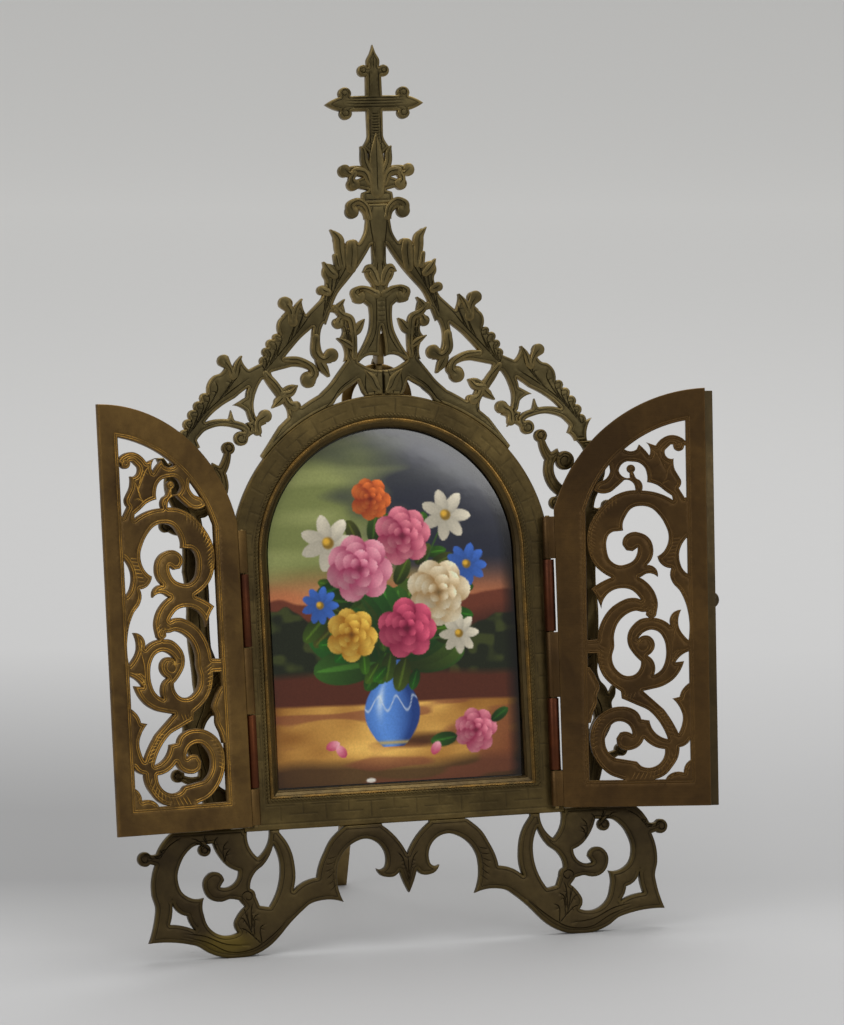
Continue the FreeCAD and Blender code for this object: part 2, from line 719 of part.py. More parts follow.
def door_edge(z, lean):
    """Where the door's hinge side lies at a height, for a hinge that leans out."""
    return DOOR_EDGE - (z - HINGE_FOOT) * math.tan(math.radians(lean))


def door_face(lean=0.0):
    """Outline of a door whose hinge side follows its hinge."""
    centre_u, centre_z = DOOR_ARCH_CENTRE
    top = centre_z + math.sqrt(DOOR_ARCH_R ** 2 - (DOOR_WIDTH - centre_u) ** 2)
    spring = centre_z + math.sqrt(DOOR_ARCH_R ** 2 - (centre_u - DOOR_EDGE) ** 2)
    turn = math.radians(DOOR_ARCH_MIDDLE)
    middle = (centre_u + DOOR_ARCH_R * math.cos(turn), centre_z + DOOR_ARCH_R * math.sin(turn))
    return outline(
        (door_edge(DOOR_BOTTOM, lean), DOOR_BOTTOM),
        [(DOOR_WIDTH, DOOR_BOTTOM)],
        [(DOOR_WIDTH, top)],
        [middle, (door_edge(spring, lean), spring)],
    )


def door_opening():
    """Quarter-arched opening that the door's scrolls stand in."""
    spring = math.sqrt(PICTURE_HALF ** 2 - (DOOR_WIDTH - HINGE_STILE) ** 2)
    crown = math.sqrt(PICTURE_HALF ** 2 - (DOOR_WIDTH - FREE_STILE) ** 2)
    turn = math.radians(OPENING_MIDDLE)
    middle = (DOOR_WIDTH + PICTURE_HALF * math.cos(turn), ARCH_CENTRE + PICTURE_HALF * math.sin(turn))
    return outline(
        (HINGE_STILE, RAIL_TOP),
        [(FREE_STILE, RAIL_TOP)],
        [(FREE_STILE, ARCH_CENTRE + crown)],
        [middle, (HINGE_STILE, ARCH_CENTRE + spring)],
    )


def door_top_sprigs():
    """The two curled leaves in the arch of the door."""
    return [
        outline(
            (41.5, 116.5),
            [(40.2, 116)],
            [(39.2, 117.6), (38.4, 119)],
            [(39.2, 120.6), (38.6, 122.4), (37.2, 125), (37.0, 128)],
            [(35.0, 128.4), (34.4, 130.6), (36.2, 132.3)],
            [(41.5, 131.8)],
            [(41.5, 132.6)],
            [(38.9, 134.6), (35.8, 135.1), (33.0, 133.7), (31.6, 132)],
            [(30.4, 132.5), (28.7, 133)],
            [(29.9, 131.0), (29.6, 129)],
            [(28.2, 130.8), (26.5, 132.4)],
            [(25.7, 130.9), (24.3, 130.4)],
            [(20, 131.5)],
            [(16.0, 128.0)],
            [(17.4, 126.2)],
            [(17.4, 123.6), (16.4, 122.2), (13.6, 120.8)],
            [(12.4, 118.6)],
            [(15.8, 117.6), (19.6, 119.6), (21.8, 121.6)],
            [(24.3, 121.0), (25.2, 118.8)],
            [(25.2, 117.5)],
            [(27.0, 117.5)],
            [(26.8, 121.2), (24.6, 122.6)],
            [(21.6, 122.6), (20.2, 124.4), (21.4, 126.6), (24.4, 127.2), (27.6, 126.0), (28.8, 123.4),
             (28.8, 120.9)],
            [(32.2, 119.8), (34.5, 118), (36.4, 116.6), (36.8, 114.6)],
            [(41.5, 112)],
        ),
        ball(38.6, 131.9, 1.7),
        ball(23.9, 125.0, 1.3),
        band([(23.9, 125.0), (24.2, 123.4), (24.6, 121.8)], [1.0, 1.2, 2.0]),
    ]


def door_upper_scroll():
    """The large scroll below the arch, with the leaf on the free stile."""
    return [
        outline(
            (41.5, 104.9),
            [(39.6, 102.7), (38.3, 99.6), (38.4, 96.6), (39.4, 94.2), (41.5, 92.2)],
            [(41.5, 78)],
            [(40.9, 80), (39.8, 84.6), (38.4, 87.6), (36.1, 90.4), (35.4, 92.6), (35.8, 94.7)],
            [(33.3, 95.5), (31.6, 98.4)],
            [(32.9, 99.2), (34.6, 101.6), (35.1, 105), (34.1, 108), (32.2, 111), (29.8, 113.1), (27, 113.7),
             (24, 113), (22.2, 110.8), (21.2, 108.4), (21.3, 106.3)],
            [(19.7, 106.1)],
            [(17.5, 105.6), (16.2, 103.4), (16.2, 100.4), (17.1, 97.6), (19, 96.1), (22, 96.1), (24.2, 97.2),
             (25.4, 99.2), (25.6, 101.1)],
            [(24.0, 100.0), (22.2, 100.3), (21.1, 101.8), (21.3, 103.9), (23.0, 105.5), (26.4, 105.6),
             (28.9, 104.2), (30.3, 101.2), (29.9, 97.8), (28.4, 95.8)],
            [(31.0, 94.7), (31.6, 92.1)],
            [(29.2, 93.2), (26.6, 92.2)],
            [(20, 90.6)],
            [(17.6, 92.1), (14.4, 94), (12.0, 96.6), (10.6, 100), (10.2, 104), (10.8, 107.4), (12.9, 111.4),
             (16.4, 115.3), (20.4, 117.7), (26, 118.6), (32, 117.6), (37, 115.2)],
            [(41.5, 116.5)],
        ),
    ]


def door_link():
    """Crescent between the upper and the middle scroll."""
    return [
        outline(
            (11.2, 88.7),
            [(14.6, 90.9), (18, 92.4)],
            [(25.6, 92.4)],
            [(28.6, 90.2), (30.7, 87.2), (31.5, 83.6), (31.0, 80.8), (29.6, 79.0)],
            [(27.8, 80.6)],
            [(28.0, 82.4), (27.0, 84.4), (25.6, 86.4), (23.6, 88.2), (20.4, 88.8)],
            [(16.6, 87.4), (14.3, 82.8)],
            [(13.4, 85.2), (12.2, 87.4), (11.2, 88.7)],
        ),
    ]


def door_middle_scroll():
    """The middle scroll with its inner ring, tied to both stiles."""
    return [
        outline(
            (9.5, 73.2),
            [(12.9, 73.4)],
            [(13.3, 76), (14.6, 79.4), (17, 82.7), (20.2, 84.9), (24, 85.9), (27.4, 84.9)],
            [(28.6, 81.6)],
            [(27.4, 81.5), (25, 81.9), (21.8, 80.8), (19.4, 78.4), (18.1, 75), (18.0, 71), (17.3, 68)],
            [(17.6, 66), (19.2, 63.6), (21.6, 62.3), (24.2, 62.7), (25.8, 64.6), (26.1, 66.6)],
            [(23.9, 68.9), (22.3, 71.6), (22.2, 74.8), (23.8, 77.6), (26.4, 79.5), (29.8, 79.9),
             (33, 79), (35.2, 77.4)],
            [(35.6, 80.6), (38.6, 82.1)],
            [(37.7, 79.6), (37.8, 76.8), (39.2, 74.4), (41.5, 72)],
            [(41.5, 69.8)],
            [(38.4, 68.2), (36.6, 66.2)],
            [(39.2, 66.5)],
            [(38.2, 64), (36.2, 61.3), (33, 59.2), (28.6, 58), (26.6, 57.6)],
            [(19.8, 57.6)],
            [(17.2, 59.5), (14.6, 62.3), (13.1, 66), (12.8, 69.2)],
            [(9.5, 69.2)],
        ),
        ball(26.4, 71.4, 2.9),
    ]


def door_ring_slot():
    """Slot between the middle scroll's ring and the ball at its centre."""
    return [
        outline(
            (25.3, 73.3),
            [(26.6, 74.3), (28.6, 74.3), (30.1, 72.8), (30.3, 70.8), (29.4, 69.2), (28.2, 68.3)],
            [(29.8, 66.8), (30.4, 64.6), (30, 62.5)],
            [(32.2, 64), (33.5, 66.8), (33.8, 70), (33.1, 73.4), (31.6, 75.4), (29.4, 76.1), (27, 75.3),
             (25.3, 73.3)],
        ),
    ]


def door_lower_scroll():
    """The lowest scroll, its stem, and the leaves on the stiles."""
    return [
        outline(
            (19.8, 58.4),
            [(20.1, 55.4)],
            [(22.4, 54.3), (24.6, 53.4), (28, 51.8), (30.8, 49), (32.7, 46), (33.9, 43)],
            [(31.0, 44.2), (29.2, 46.2), (28.4, 48.7)],
            [(25.9, 49.1)],
            [(25, 51), (22.8, 52.5), (19, 53), (15.4, 52), (12.5, 49.8), (10.8, 47), (10.2, 43.4), (10.8, 39.4),
             (12.8, 35.6), (16, 32.5), (20, 30.9), (24.6, 30.4), (29.6, 30.8)],
            [(32.4, 31.8), (35.2, 34.6), (36.9, 37.4), (37.4, 40.4)],
            [(39.4, 41.2), (41.5, 43.6)],
            [(41.5, 60.5)],
            [(39.4, 58.8), (38.2, 57.2), (37.7, 55.7)],
            [(35.5, 55.2)],
            [(37.6, 52.6), (38.6, 49.6), (38.2, 47), (37.2, 44.6)],
            [(35.6, 47.8), (32.6, 52.2), (29, 55.6), (26.4, 57.8)],
        ),
        outline(
            (10.4, 65),
            [(12.6, 61.4), (13.4, 58.6), (12.6, 56.6)],
            [(12.6, 54.2)],
            [(11.4, 51.4), (10.6, 48.2)],
            [(9.0, 48.0)],
            [(9.0, 65.4)],
        ),
        outline(
            (41.5, 37.2),
            [(39.4, 35.4), (38.6, 32.8)],
            [(35.4, 32.8), (32.6, 30.2)],
            [(41.5, 30.2)],
        ),
    ]


def door_lower_holes():
    """Openings inside the lowest scroll."""
    return [
        outline(
            (16.2, 46.8),
            [(18, 48.3), (20.2, 48.4), (22.2, 47.2), (23.1, 44.6)],
            [(21.4, 45.4), (19.4, 45.1), (18.2, 43.2), (18.5, 41.2), (20.3, 39.9), (23, 39.9), (25.2, 41),
             (26.6, 43.2)],
            [(29.2, 41.0), (33, 39.9)],
            [(32.6, 37.4), (30.9, 35.3), (28.4, 34.4), (25.8, 34.9), (24, 36.4)],
            [(21.4, 36.9), (18.2, 37.4), (15.8, 39.3), (14.8, 42.2), (15.1, 45), (16.2, 46.8)],
        ),
    ]


def door_panel(lean=0.0):
    """Left door, closed: a border with three pierced scrolls, one below the other."""
    border = door_face(lean).cut(door_opening())
    scrolls = door_top_sprigs() + door_upper_scroll() + door_link()
    scrolls += door_middle_scroll() + door_lower_scroll()
    scrolls = [scroll.cut(door_ring_slot() + door_lower_holes()) for scroll in scrolls]
    inside = [scroll.common(door_face()) for scroll in scrolls]
    door = plate([border] + inside, y=HINGE_Y, thick=DOOR)
    door.translate(Vector(-HINGE_X, 0, 0))
    return door


def astragal():
    """Meeting strip on the outer face of the right door, covering the joint when both are shut."""
    front = HINGE_Y - STRIP
    right = HINGE_X - STRIP_FROM
    left = HINGE_X - STRIP_TO
    edge = HINGE_X - DOOR_WIDTH
    strip = box((left, right), (front, HINGE_Y), (DOOR_BOTTOM, STRIP_TOP))
    relief = box((left - 1, edge), (HINGE_Y - STRIP_UNDERCUT, HINGE_Y + 1), (0, 200))
    return strip.cut(relief).removeSplitter()


def door_knob():
    """Turned knob on a short neck, riveted to the meeting strip."""
    turns = [2.0 * math.pi * side / KNOB_SIDES for side in range(KNOB_SIDES + 1)]
    rings = []
    for out, r in ((0, 1.1), (1.0, 1.1), (2.4, KNOB_R), (3.4, KNOB_R), (4.6, 0.75 * KNOB_R), (5.1, 0.4 * KNOB_R)):
        rings.append(Part.makePolygon([Vector(r * math.cos(turn), -out, r * math.sin(turn)) for turn in turns]))
    knob = Part.makeLoft(rings, True, True)
    knob.translate(at(HINGE_X - KNOB_U, KNOB_Z, HINGE_Y - STRIP))
    return knob


# Wall ring

def disc(r, sides, x, y, z, thick):
    """Many-sided disc across the X axis, round a point in Y and Z."""
    turns = [2.0 * math.pi * (side + 0.5) / sides for side in range(sides + 1)]
    rim = [Vector(x, y + r * math.cos(turn), z + r * math.sin(turn)) for turn in turns]
    return Part.Face(Part.makePolygon(rim)).extrude(X_AXIS * thick)


def ring_staple():
    """Soldered plate behind the column, with the eye that the wall ring hangs in."""
    y, z = RING_PIVOT
    eye = disc(EYE_OUTER_R, EYE_SIDES, -EYE_HALF, y, z, 2 * EYE_HALF)
    hole = disc(EYE_INNER_R, EYE_SIDES, -EYE_HALF, y, z, 2 * EYE_HALF)
    sheet = box((-STAPLE_HALF, STAPLE_HALF), (CASTING, CASTING + STAPLE_PLATE), STAPLE_SPAN)
    web = box((-EYE_HALF, EYE_HALF), (CASTING, y + 1.0), (z + 1.0, STAPLE_WEB_TOP))
    soldered = sheet.fuse(web)
    soldered.rotate(at(0, BEND_Z, CASTING), X_AXIS, BEND)
    return eye.fuse(soldered).cut(hole).removeSplitter()


def hanging_ring():
    """Flat ring that hangs straight down from the eye, so it is turned back by the lean."""
    y, z = RING_PIVOT
    ring = disc(RING_MEAN_R + RING_BAND / 2.0, RING_SIDES, 0, 0, 0, RING_THICK)
    ring = ring.cut(disc(RING_MEAN_R - RING_BAND / 2.0, RING_SIDES, 0, 0, 0, RING_THICK))
    ring.rotate(CENTRE, Z_AXIS, 90)
    ring.translate(at(0, z - RING_MEAN_R, y - RING_THICK / 2.0))
    ring.rotate(at(0, z, y), X_AXIS, LEAN)
    return ring


# Folding strut

def strut_angle():
    """How far the strut stands out from the plate's back, in degrees."""
    return math.degrees(math.atan2(STRUT_REACH - STRUT_PIN_Y, STRUT_PIN_Z - floor_z(STRUT_REACH)))


def strut_bracket():
    """Plate with two ears, riveted to the back cover."""
    inside = STRUT_HALF + EAR_GAP
    outside = inside + EAR
    base = box((-outside, outside), (COVER_OUTER, COVER_OUTER + BRACKET_BASE), BRACKET_SPAN)
    ears = []
    for low, high in ((-outside, -inside), (inside, outside)):
        foot = Vector(low, COVER_OUTER, EAR_FOOT[0])
        under = Vector(low, STRUT_PIN_Y, STRUT_PIN_Z - EAR_R)
        behind = Vector(low, STRUT_PIN_Y + EAR_R, STRUT_PIN_Z)
        over = Vector(low, STRUT_PIN_Y, STRUT_PIN_Z + EAR_R)
        top = Vector(low, COVER_OUTER, EAR_FOOT[1])
        edges = [Part.makeLine(foot, under)] + arc_edges(under, behind, over)
        edges += [Part.makeLine(over, top), Part.makeLine(top, foot)]
        ears.append(Part.Face(Part.Wire(edges)).extrude(X_AXIS * (high - low)))
    ends = (Vector(-outside, STRUT_PIN_Y, STRUT_PIN_Z), Vector(outside, STRUT_PIN_Y, STRUT_PIN_Z))
    bore = rod(STRUT_PIN_R, ends[0], ends[1], X_AXIS)
    return base.fuse(ears).cut(bore).removeSplitter()


def strut_pin():
    end = STRUT_HALF + EAR_GAP + EAR
    return rod(STRUT_PIN_R, Vector(-end, STRUT_PIN_Y, STRUT_PIN_Z), Vector(end, STRUT_PIN_Y, STRUT_PIN_Z), X_AXIS)


def easel_strut():
    """Tapered bar on a barrel, cut level with the floor, with a heel that stops it when open."""
    length = math.hypot(STRUT_REACH - STRUT_PIN_Y, STRUT_PIN_Z - floor_z(STRUT_REACH)) + STRUT_SPARE
    top = STRUT_PIN_Z
    waist_z, waist = top - STRUT_WAIST[0], STRUT_WAIST[1]
    calf_z, calf = top - STRUT_CALF[0], STRUT_CALF[1]
    bar = outline(
        (-STRUT_HALF, top),
        [(-STRUT_HALF, top - STRUT_SHOULDER)],
        [(-waist, waist_z), (-calf, calf_z), (-STRUT_TIP_HALF, top - length)],
        [(STRUT_TIP_HALF, top - length)],
        [(calf, calf_z), (waist, waist_z), (STRUT_HALF, top - STRUT_SHOULDER)],
        [(STRUT_HALF, top)],
    ).extrude(Y_AXIS * STRUT_THICK)
    bar.translate(Y_AXIS * (STRUT_PIN_Y - STRUT_THICK / 2.0))
    pin = at(0, STRUT_PIN_Z, STRUT_PIN_Y)
    bar.rotate(pin, X_AXIS, strut_angle())
    ends = (Vector(-STRUT_HALF, STRUT_PIN_Y, STRUT_PIN_Z), Vector(STRUT_HALF, STRUT_PIN_Y, STRUT_PIN_Z))
    strut = bar.fuse(rod(STRUT_BARREL_R, ends[0], ends[1], X_AXIS))
    heel = box(
        (-STRUT_HALF, STRUT_HALF),
        (COVER_OUTER + BRACKET_BASE + HEEL_GAP, STRUT_PIN_Y + HEEL_BACK),
        (STRUT_PIN_Z, STRUT_PIN_Z + HEEL_TOP),
    )
    strut = strut.fuse(heel).cut(rod(STRUT_BORE_R, ends[0], ends[1], X_AXIS))
    under = box((-100, 100), (0, 200), (-60, 0))
    under.translate(Z_AXIS * FLOOR_AT_FRONT)
    under.rotate(at(0, FLOOR_AT_FRONT), X_AXIS, LEAN)
    return strut.cut(under).removeSplitter()


def leaned(shape):
    """Lean a piece of the right hinge outward, about the foot of its axis."""
    turned = shape.copy()
    turned.rotate(at(HINGE_X, HINGE_FOOT, HINGE_Y), Y_AXIS, RIGHT_LEAN)
    return turned


def hinge_axis(side):
    """Direction of a door's hinge, side being -1 for the left door."""
    lean = math.radians(RIGHT_LEAN) if side > 0 else 0.0
    return Vector(math.sin(lean), 0, math.cos(lean))


def swing(shape, side, angle):
    """Turn a closed door's piece open about its hinge."""
    turned = shape.copy()
    turned.rotate(at(side * HINGE_X, HINGE_FOOT, HINGE_Y), hinge_axis(side), side * angle)
    return turned


def build():
    """Every piece by name, on the upright plate."""
    knuckles = door_knuckles()
    scroll = side_scroll()
    pieces = {
        "arch_frame": arch_frame(),
        "gable_crest": gable_crest(),
        "cross_finial": cross_finial(),
        "right_side_scroll": scroll,
        "left_side_scroll": mirrored(scroll),
        "foot_scrollwork": foot_scrollwork(),
        "plaque_bezel": plaque_bezel(),
        "porcelain_plaque": porcelain_plaque(),
        "packing_card": packing_card(),
        "back_cover": back_cover(),
        "left_frame_knuckles": frame_knuckles(),
        "right_frame_knuckles": leaned(mirrored(frame_knuckles())),
        "left_hinge_pin": hinge_pin(),
        "right_hinge_pin": leaned(mirrored(hinge_pin())),
        "left_door_panel": swing(door_panel(), -1, LEFT_DOOR_OPEN),
        "right_door_panel": swing(mirrored(door_panel(RIGHT_LEAN)), 1, RIGHT_DOOR_OPEN),
        "left_door_knuckles": swing(knuckles, -1, LEFT_DOOR_OPEN),
        "right_door_knuckles": swing(leaned(mirrored(knuckles)), 1, RIGHT_DOOR_OPEN),
        "door_astragal": swing(astragal(), 1, RIGHT_DOOR_OPEN),
        "door_knob": swing(door_knob(), 1, RIGHT_DOOR_OPEN),
        "ring_staple": ring_staple(),
        "hanging_ring": hanging_ring(),
        "strut_bracket": strut_bracket(),
        "strut_pin": strut_pin(),
        "easel_strut": easel_strut(),
    }
    return pieces


def place(pieces):
    """Lean every piece back and stand it on the floor, over the middle of its footprint."""
    lift = -FLOOR_AT_FRONT * math.cos(math.radians(LEAN))
    for shape in pieces.values():
        shape.rotate(CENTRE, X_AXIS, -LEAN)
        shape.translate(Z_AXIS * lift)
    room = Part.makeCompound(list(pieces.values())).optimalBoundingBox(False)
    middle = Vector((room.XMin + room.XMax) / 2.0, (room.YMin + room.YMax) / 2.0, 0)
    for shape in pieces.values():
        shape.translate(-middle)
    return middle, lift


def main():
    pieces = build()
    middle, lift = place(pieces)
    os.makedirs("parts", exist_ok=True)
    for name, shape in pieces.items():
        if not shape.isValid():
            raise RuntimeError("%s is not a valid shape" % name)
        shape.exportStep("parts/%s.step" % name)
        print("%-22s %d solids  %8.1f mm3" % (name, len(shape.Solids), shape.Volume))
    print("shift of the footprint's middle: %.3f %.3f, lift %.3f" % (middle.x, middle.y, lift))
    print("strut stands out by %.2f degrees" % strut_angle())


if __name__ == "__main__":
    main()
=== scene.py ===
import json
import math

import bmesh
import bpy
import numpy as np
from bpy.props import FloatProperty, FloatVectorProperty, PointerProperty
from mathutils import Matrix, Vector, kdtree
from mathutils.geometry import delaunay_2d_cdt


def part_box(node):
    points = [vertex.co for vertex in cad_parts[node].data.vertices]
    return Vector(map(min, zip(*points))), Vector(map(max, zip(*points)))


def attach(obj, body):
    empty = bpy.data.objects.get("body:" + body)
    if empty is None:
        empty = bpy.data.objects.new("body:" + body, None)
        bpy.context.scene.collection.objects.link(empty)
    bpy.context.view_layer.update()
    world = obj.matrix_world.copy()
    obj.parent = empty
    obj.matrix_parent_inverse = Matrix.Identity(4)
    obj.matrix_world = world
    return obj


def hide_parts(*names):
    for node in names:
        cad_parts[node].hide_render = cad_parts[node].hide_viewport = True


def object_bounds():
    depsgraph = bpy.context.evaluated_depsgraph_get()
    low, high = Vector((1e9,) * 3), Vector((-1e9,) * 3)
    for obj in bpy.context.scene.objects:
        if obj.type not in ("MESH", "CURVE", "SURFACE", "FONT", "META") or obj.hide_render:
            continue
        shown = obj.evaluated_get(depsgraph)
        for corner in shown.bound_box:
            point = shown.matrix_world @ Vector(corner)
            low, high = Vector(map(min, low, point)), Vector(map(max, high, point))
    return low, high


bl_info = {
    "name": "Brass table altar",
    "version": (1, 0, 0),
    "blender": (4, 5, 0),
    "location": "3D View > Sidebar > Altar",
    "description": "Chased brass castings, painted plaque, fittings and studio of a table altar",
    "category": "Add Mesh",
}

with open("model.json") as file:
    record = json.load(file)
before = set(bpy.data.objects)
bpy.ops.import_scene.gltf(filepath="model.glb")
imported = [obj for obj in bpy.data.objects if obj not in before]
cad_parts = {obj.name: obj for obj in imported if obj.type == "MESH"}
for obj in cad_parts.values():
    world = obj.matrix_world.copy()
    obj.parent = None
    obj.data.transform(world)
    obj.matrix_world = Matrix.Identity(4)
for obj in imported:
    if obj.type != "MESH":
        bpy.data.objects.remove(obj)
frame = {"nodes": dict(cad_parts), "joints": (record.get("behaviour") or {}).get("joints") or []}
cad_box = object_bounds()
joints = {joint["name"]: joint for joint in frame["joints"]}
# The plate leans back as the left hinge does.
LEAN = math.atan2(*joints["left_door_hinge"]["axis"][1:])

# Shapes are drawn in millimetres on the upright plate, as in the part's source: X to the right,
# Y to the back from the plate's front face, Z up from the tip of the pendant.
MM = 0.001
CASTING = 2.4
FRAME_BOTTOM = 21.2
BEND_Z = 151.0
BEND = math.radians(4.2)
ARCH_CENTRE = 101.5
PICTURE_HALF = 38.5
PICTURE_SILL = 33.0
PLAQUE_FRONT = 3.2
PLAQUE_BACK = 5.4
PLAQUE_RISE = 1.9
PLAQUE_MARGIN = 3.9
DOME_REACH = 66.0
DOME_HALF = 38.1
HINGE_X = 47.0
HINGE_Y = -2.2
DOOR = 1.8
DOOR_WIDTH = 46.8
RAIL_TOP = 30.8
HINGE_STILE = 9.9
FREE_STILE = 40.7
COVER_BACK = 7.4
CAMERA_PLACE = (-386.5, -1372.2, 80.1)
CAMERA_TURNS = (("Z", -2.58), ("Y", -16.11), ("X", -1.41))
CAMERA_LENS = 166.44
COVER_MARGIN = 4.5
COVER_WALL = 0.8
DOME_SILL = PICTURE_SILL + 0.4
ROPE_HALF = PICTURE_HALF + 3.75
ROPE_SILL = PICTURE_SILL - 3.05
LINE_HALF = 0.17
BACK_EDGE = 0.3
RING_BAND = 3.0
BARREL_EDGE = 0.16
KNOB_PLACE = (HINGE_X - 48.2, HINGE_Y - 1.2, 85.0)


# Where things are

def plate_matrix():
    """From millimetres on the upright plate to the row frame."""
    turn = Matrix.Rotation(-LEAN, 4, "X") @ Matrix.Scale(MM, 4)
    low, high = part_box("arch_frame")
    front = turn @ Vector((0, 0, FRAME_BOTTOM))
    back = turn @ Vector((0, CASTING, FRAME_BOTTOM))
    return Matrix.Translation(((low.x + high.x) / 2, low.y - front.y, low.z - back.z)) @ turn


PLATE = plate_matrix()


def door_matrix(side):
    """From millimetres on a closed door to the row frame, side being -1 for the left door."""
    joint = joints["left_door_hinge" if side < 0 else "right_door_hinge"]
    opened = max(joint["range_deg"], key=abs)
    pin = Matrix.Translation(joint["pos_m"])
    return pin @ Matrix.Rotation(math.radians(-opened), 4, Vector(joint["axis"])) @ pin.inverted() @ PLATE


def bent(z):
    """How far the plate's face is bent forward at a height."""
    return -np.maximum(z - BEND_Z, 0.0) * math.tan(BEND)


# Lines and outlines

def point_tree(points):
    """Search tree over points (x, z)."""
    tree = kdtree.KDTree(len(points))
    for index, (x, z) in enumerate(points.tolist()):
        tree.insert((x, z, 0), index)
    tree.balance()
    return tree


def units(vectors):
    """The vectors at a length of 1."""
    return vectors / np.linalg.norm(vectors, axis=1)[:, None]


def left_of(vectors):
    """The vectors turned a quarter to the left."""
    return np.column_stack([-vectors[:, 1], vectors[:, 0]])


def edges_of(faces):
    """Directed edges of triangles."""
    return np.vstack([faces[:, [0, 1]], faces[:, [1, 2]], faces[:, [2, 0]]])


def real_faces(faces):
    """Those triangles whose three corners differ."""
    a, b, c = faces.T
    return faces[(a != b) & (b != c) & (c != a)]


def curve(points, step=0.25):
    """Smooth line through the points, which may carry a half width too."""
    points = np.asarray(points, float)
    ends = np.vstack([2 * points[0] - points[1], points, 2 * points[-1] - points[-2]])
    line = [points[:1]]
    for before, a, b, after in zip(ends, ends[1:], ends[2:], ends[3:]):
        count = max(1, math.ceil(np.hypot(*(b - a)[:2]) / step))
        t = (np.arange(1, count + 1) / count)[:, None]
        line.append(0.5 * (2 * a + (b - before) * t + (2 * before - 5 * a + 4 * b - after) * t ** 2
                           + (3 * a - before - 3 * b + after) * t ** 3))
    return np.vstack(line)


def straight(points, step=0.25):
    """Line of straight runs through the points."""
    points = np.asarray(points, float)
    line = [points[:1]]
    for a, b in zip(points, points[1:]):
        count = max(1, math.ceil(np.hypot(*(b - a)) / step))
        line.append(a + (b - a) * (np.arange(1, count + 1) / count)[:, None])
    return np.vstack(line)


def ribbon(spine):
    """Closed outline of a strap or leaf from its middle line of (x, z, half width), its ends round."""
    line = curve(spine)
    ahead = units(np.gradient(line[:, :2], axis=0))
    aside = left_of(ahead)
    line, half = line[:, :2], np.maximum(line[:, 2:], 0.14)
    caps = []
    for end, sign in ((-1, 1), (0, -1)):
        turn = np.linspace(-math.pi / 2, math.pi / 2, 5 + int(9 * half[end, 0]))[1:-1, None]
        caps.append(line[end] + sign * half[end] * (np.cos(turn) * ahead[end] + np.sin(turn) * aside[end]))
    return np.vstack([line - half * aside, caps[0], (line + half * aside)[::-1], caps[1]])


def plate_loops(node, matrix):
    """Corner points (x, z) of the loops round the front face of a CAD plate, metal on their left."""
    mesh = frame["nodes"][node].data
    mesh.calc_loop_triangles()
    points = np.zeros(len(mesh.vertices) * 3)
    mesh.vertices.foreach_get("co", points)
    faces = np.zeros(len(mesh.loop_triangles) * 3, int)
    mesh.loop_triangles.foreach_get("vertices", faces)
    back = np.array(matrix.inverted())
    points = points.reshape(-1, 3) @ back[:3, :3].T + back[:3, 3]
    keys, merged = np.unique(np.round(points, 3), axis=0, return_inverse=True)
    faces = merged.ravel()[faces].reshape(-1, 3)
    a, b, c = (keys[faces[:, side]] for side in range(3))
    normal = np.cross(b - a, c - a)
    size = np.linalg.norm(normal, axis=1)
    faces = faces[(size > 0) & (normal[:, 1] < -0.9 * size)]
    ways = edges_of(faces)
    both = set(map(tuple, ways.tolist()))
    after = {}
    for start, end in both:
        if (end, start) not in both:
            after.setdefault(start, []).append(end)
    loops = []
    while after:
        first = next(iter(after))
        loop = [first]
        here = first
        while True:
            ends = after[here]
            following = ends.pop()
            if not ends:
                del after[here]
            if following == first:
                break
            loop.append(following)
            here = following
        loops.append(keys[loop][:, [0, 2]])
    return loops


def rounded_loop(points, step, corner=0.71, long=2.5):
    """Closed loop through the points, an arc where they follow one and sharp at its corners."""
    run = np.roll(points, -1, 0) - points
    points = points[np.hypot(run[:, 0], run[:, 1]) > 1e-3]
    run = np.roll(points, -1, 0) - points
    length = np.hypot(run[:, 0], run[:, 1])
    unit = run / length[:, None]
    before = np.roll(unit, 1, 0)
    came = np.roll(length, 1)
    turn = np.arccos(np.clip((before * unit).sum(1), -1, 1))
    share = (length / (length + came))[:, None]
    tangent = before * share + unit * (1 - share)
    tangent[came > long * length] = before[came > long * length]
    tangent[length > long * came] = unit[length > long * came]
    tangent = units(tangent)
    sharp = turn > corner
    line = []
    for i in range(len(points)):
        j = (i + 1) % len(points)
        start, end = tangent[i], tangent[j]
        if sharp[i] and sharp[j]:
            start = end = unit[i]
        elif sharp[i]:
            start = 2 * (unit[i] @ end) * unit[i] - end
        elif sharp[j]:
            end = 2 * (unit[i] @ start) * unit[i] - start
        count = max(1, math.ceil(length[i] / step))
        t = (np.arange(count) / count)[:, None]
        line.append(points[i] * (2 * t ** 3 - 3 * t ** 2 + 1) + start * length[i] * (t ** 3 - 2 * t ** 2 + t)
                    + points[j] * (3 * t ** 2 - 2 * t ** 3) + end * length[i] * (t ** 3 - t ** 2))
    return np.vstack(line)


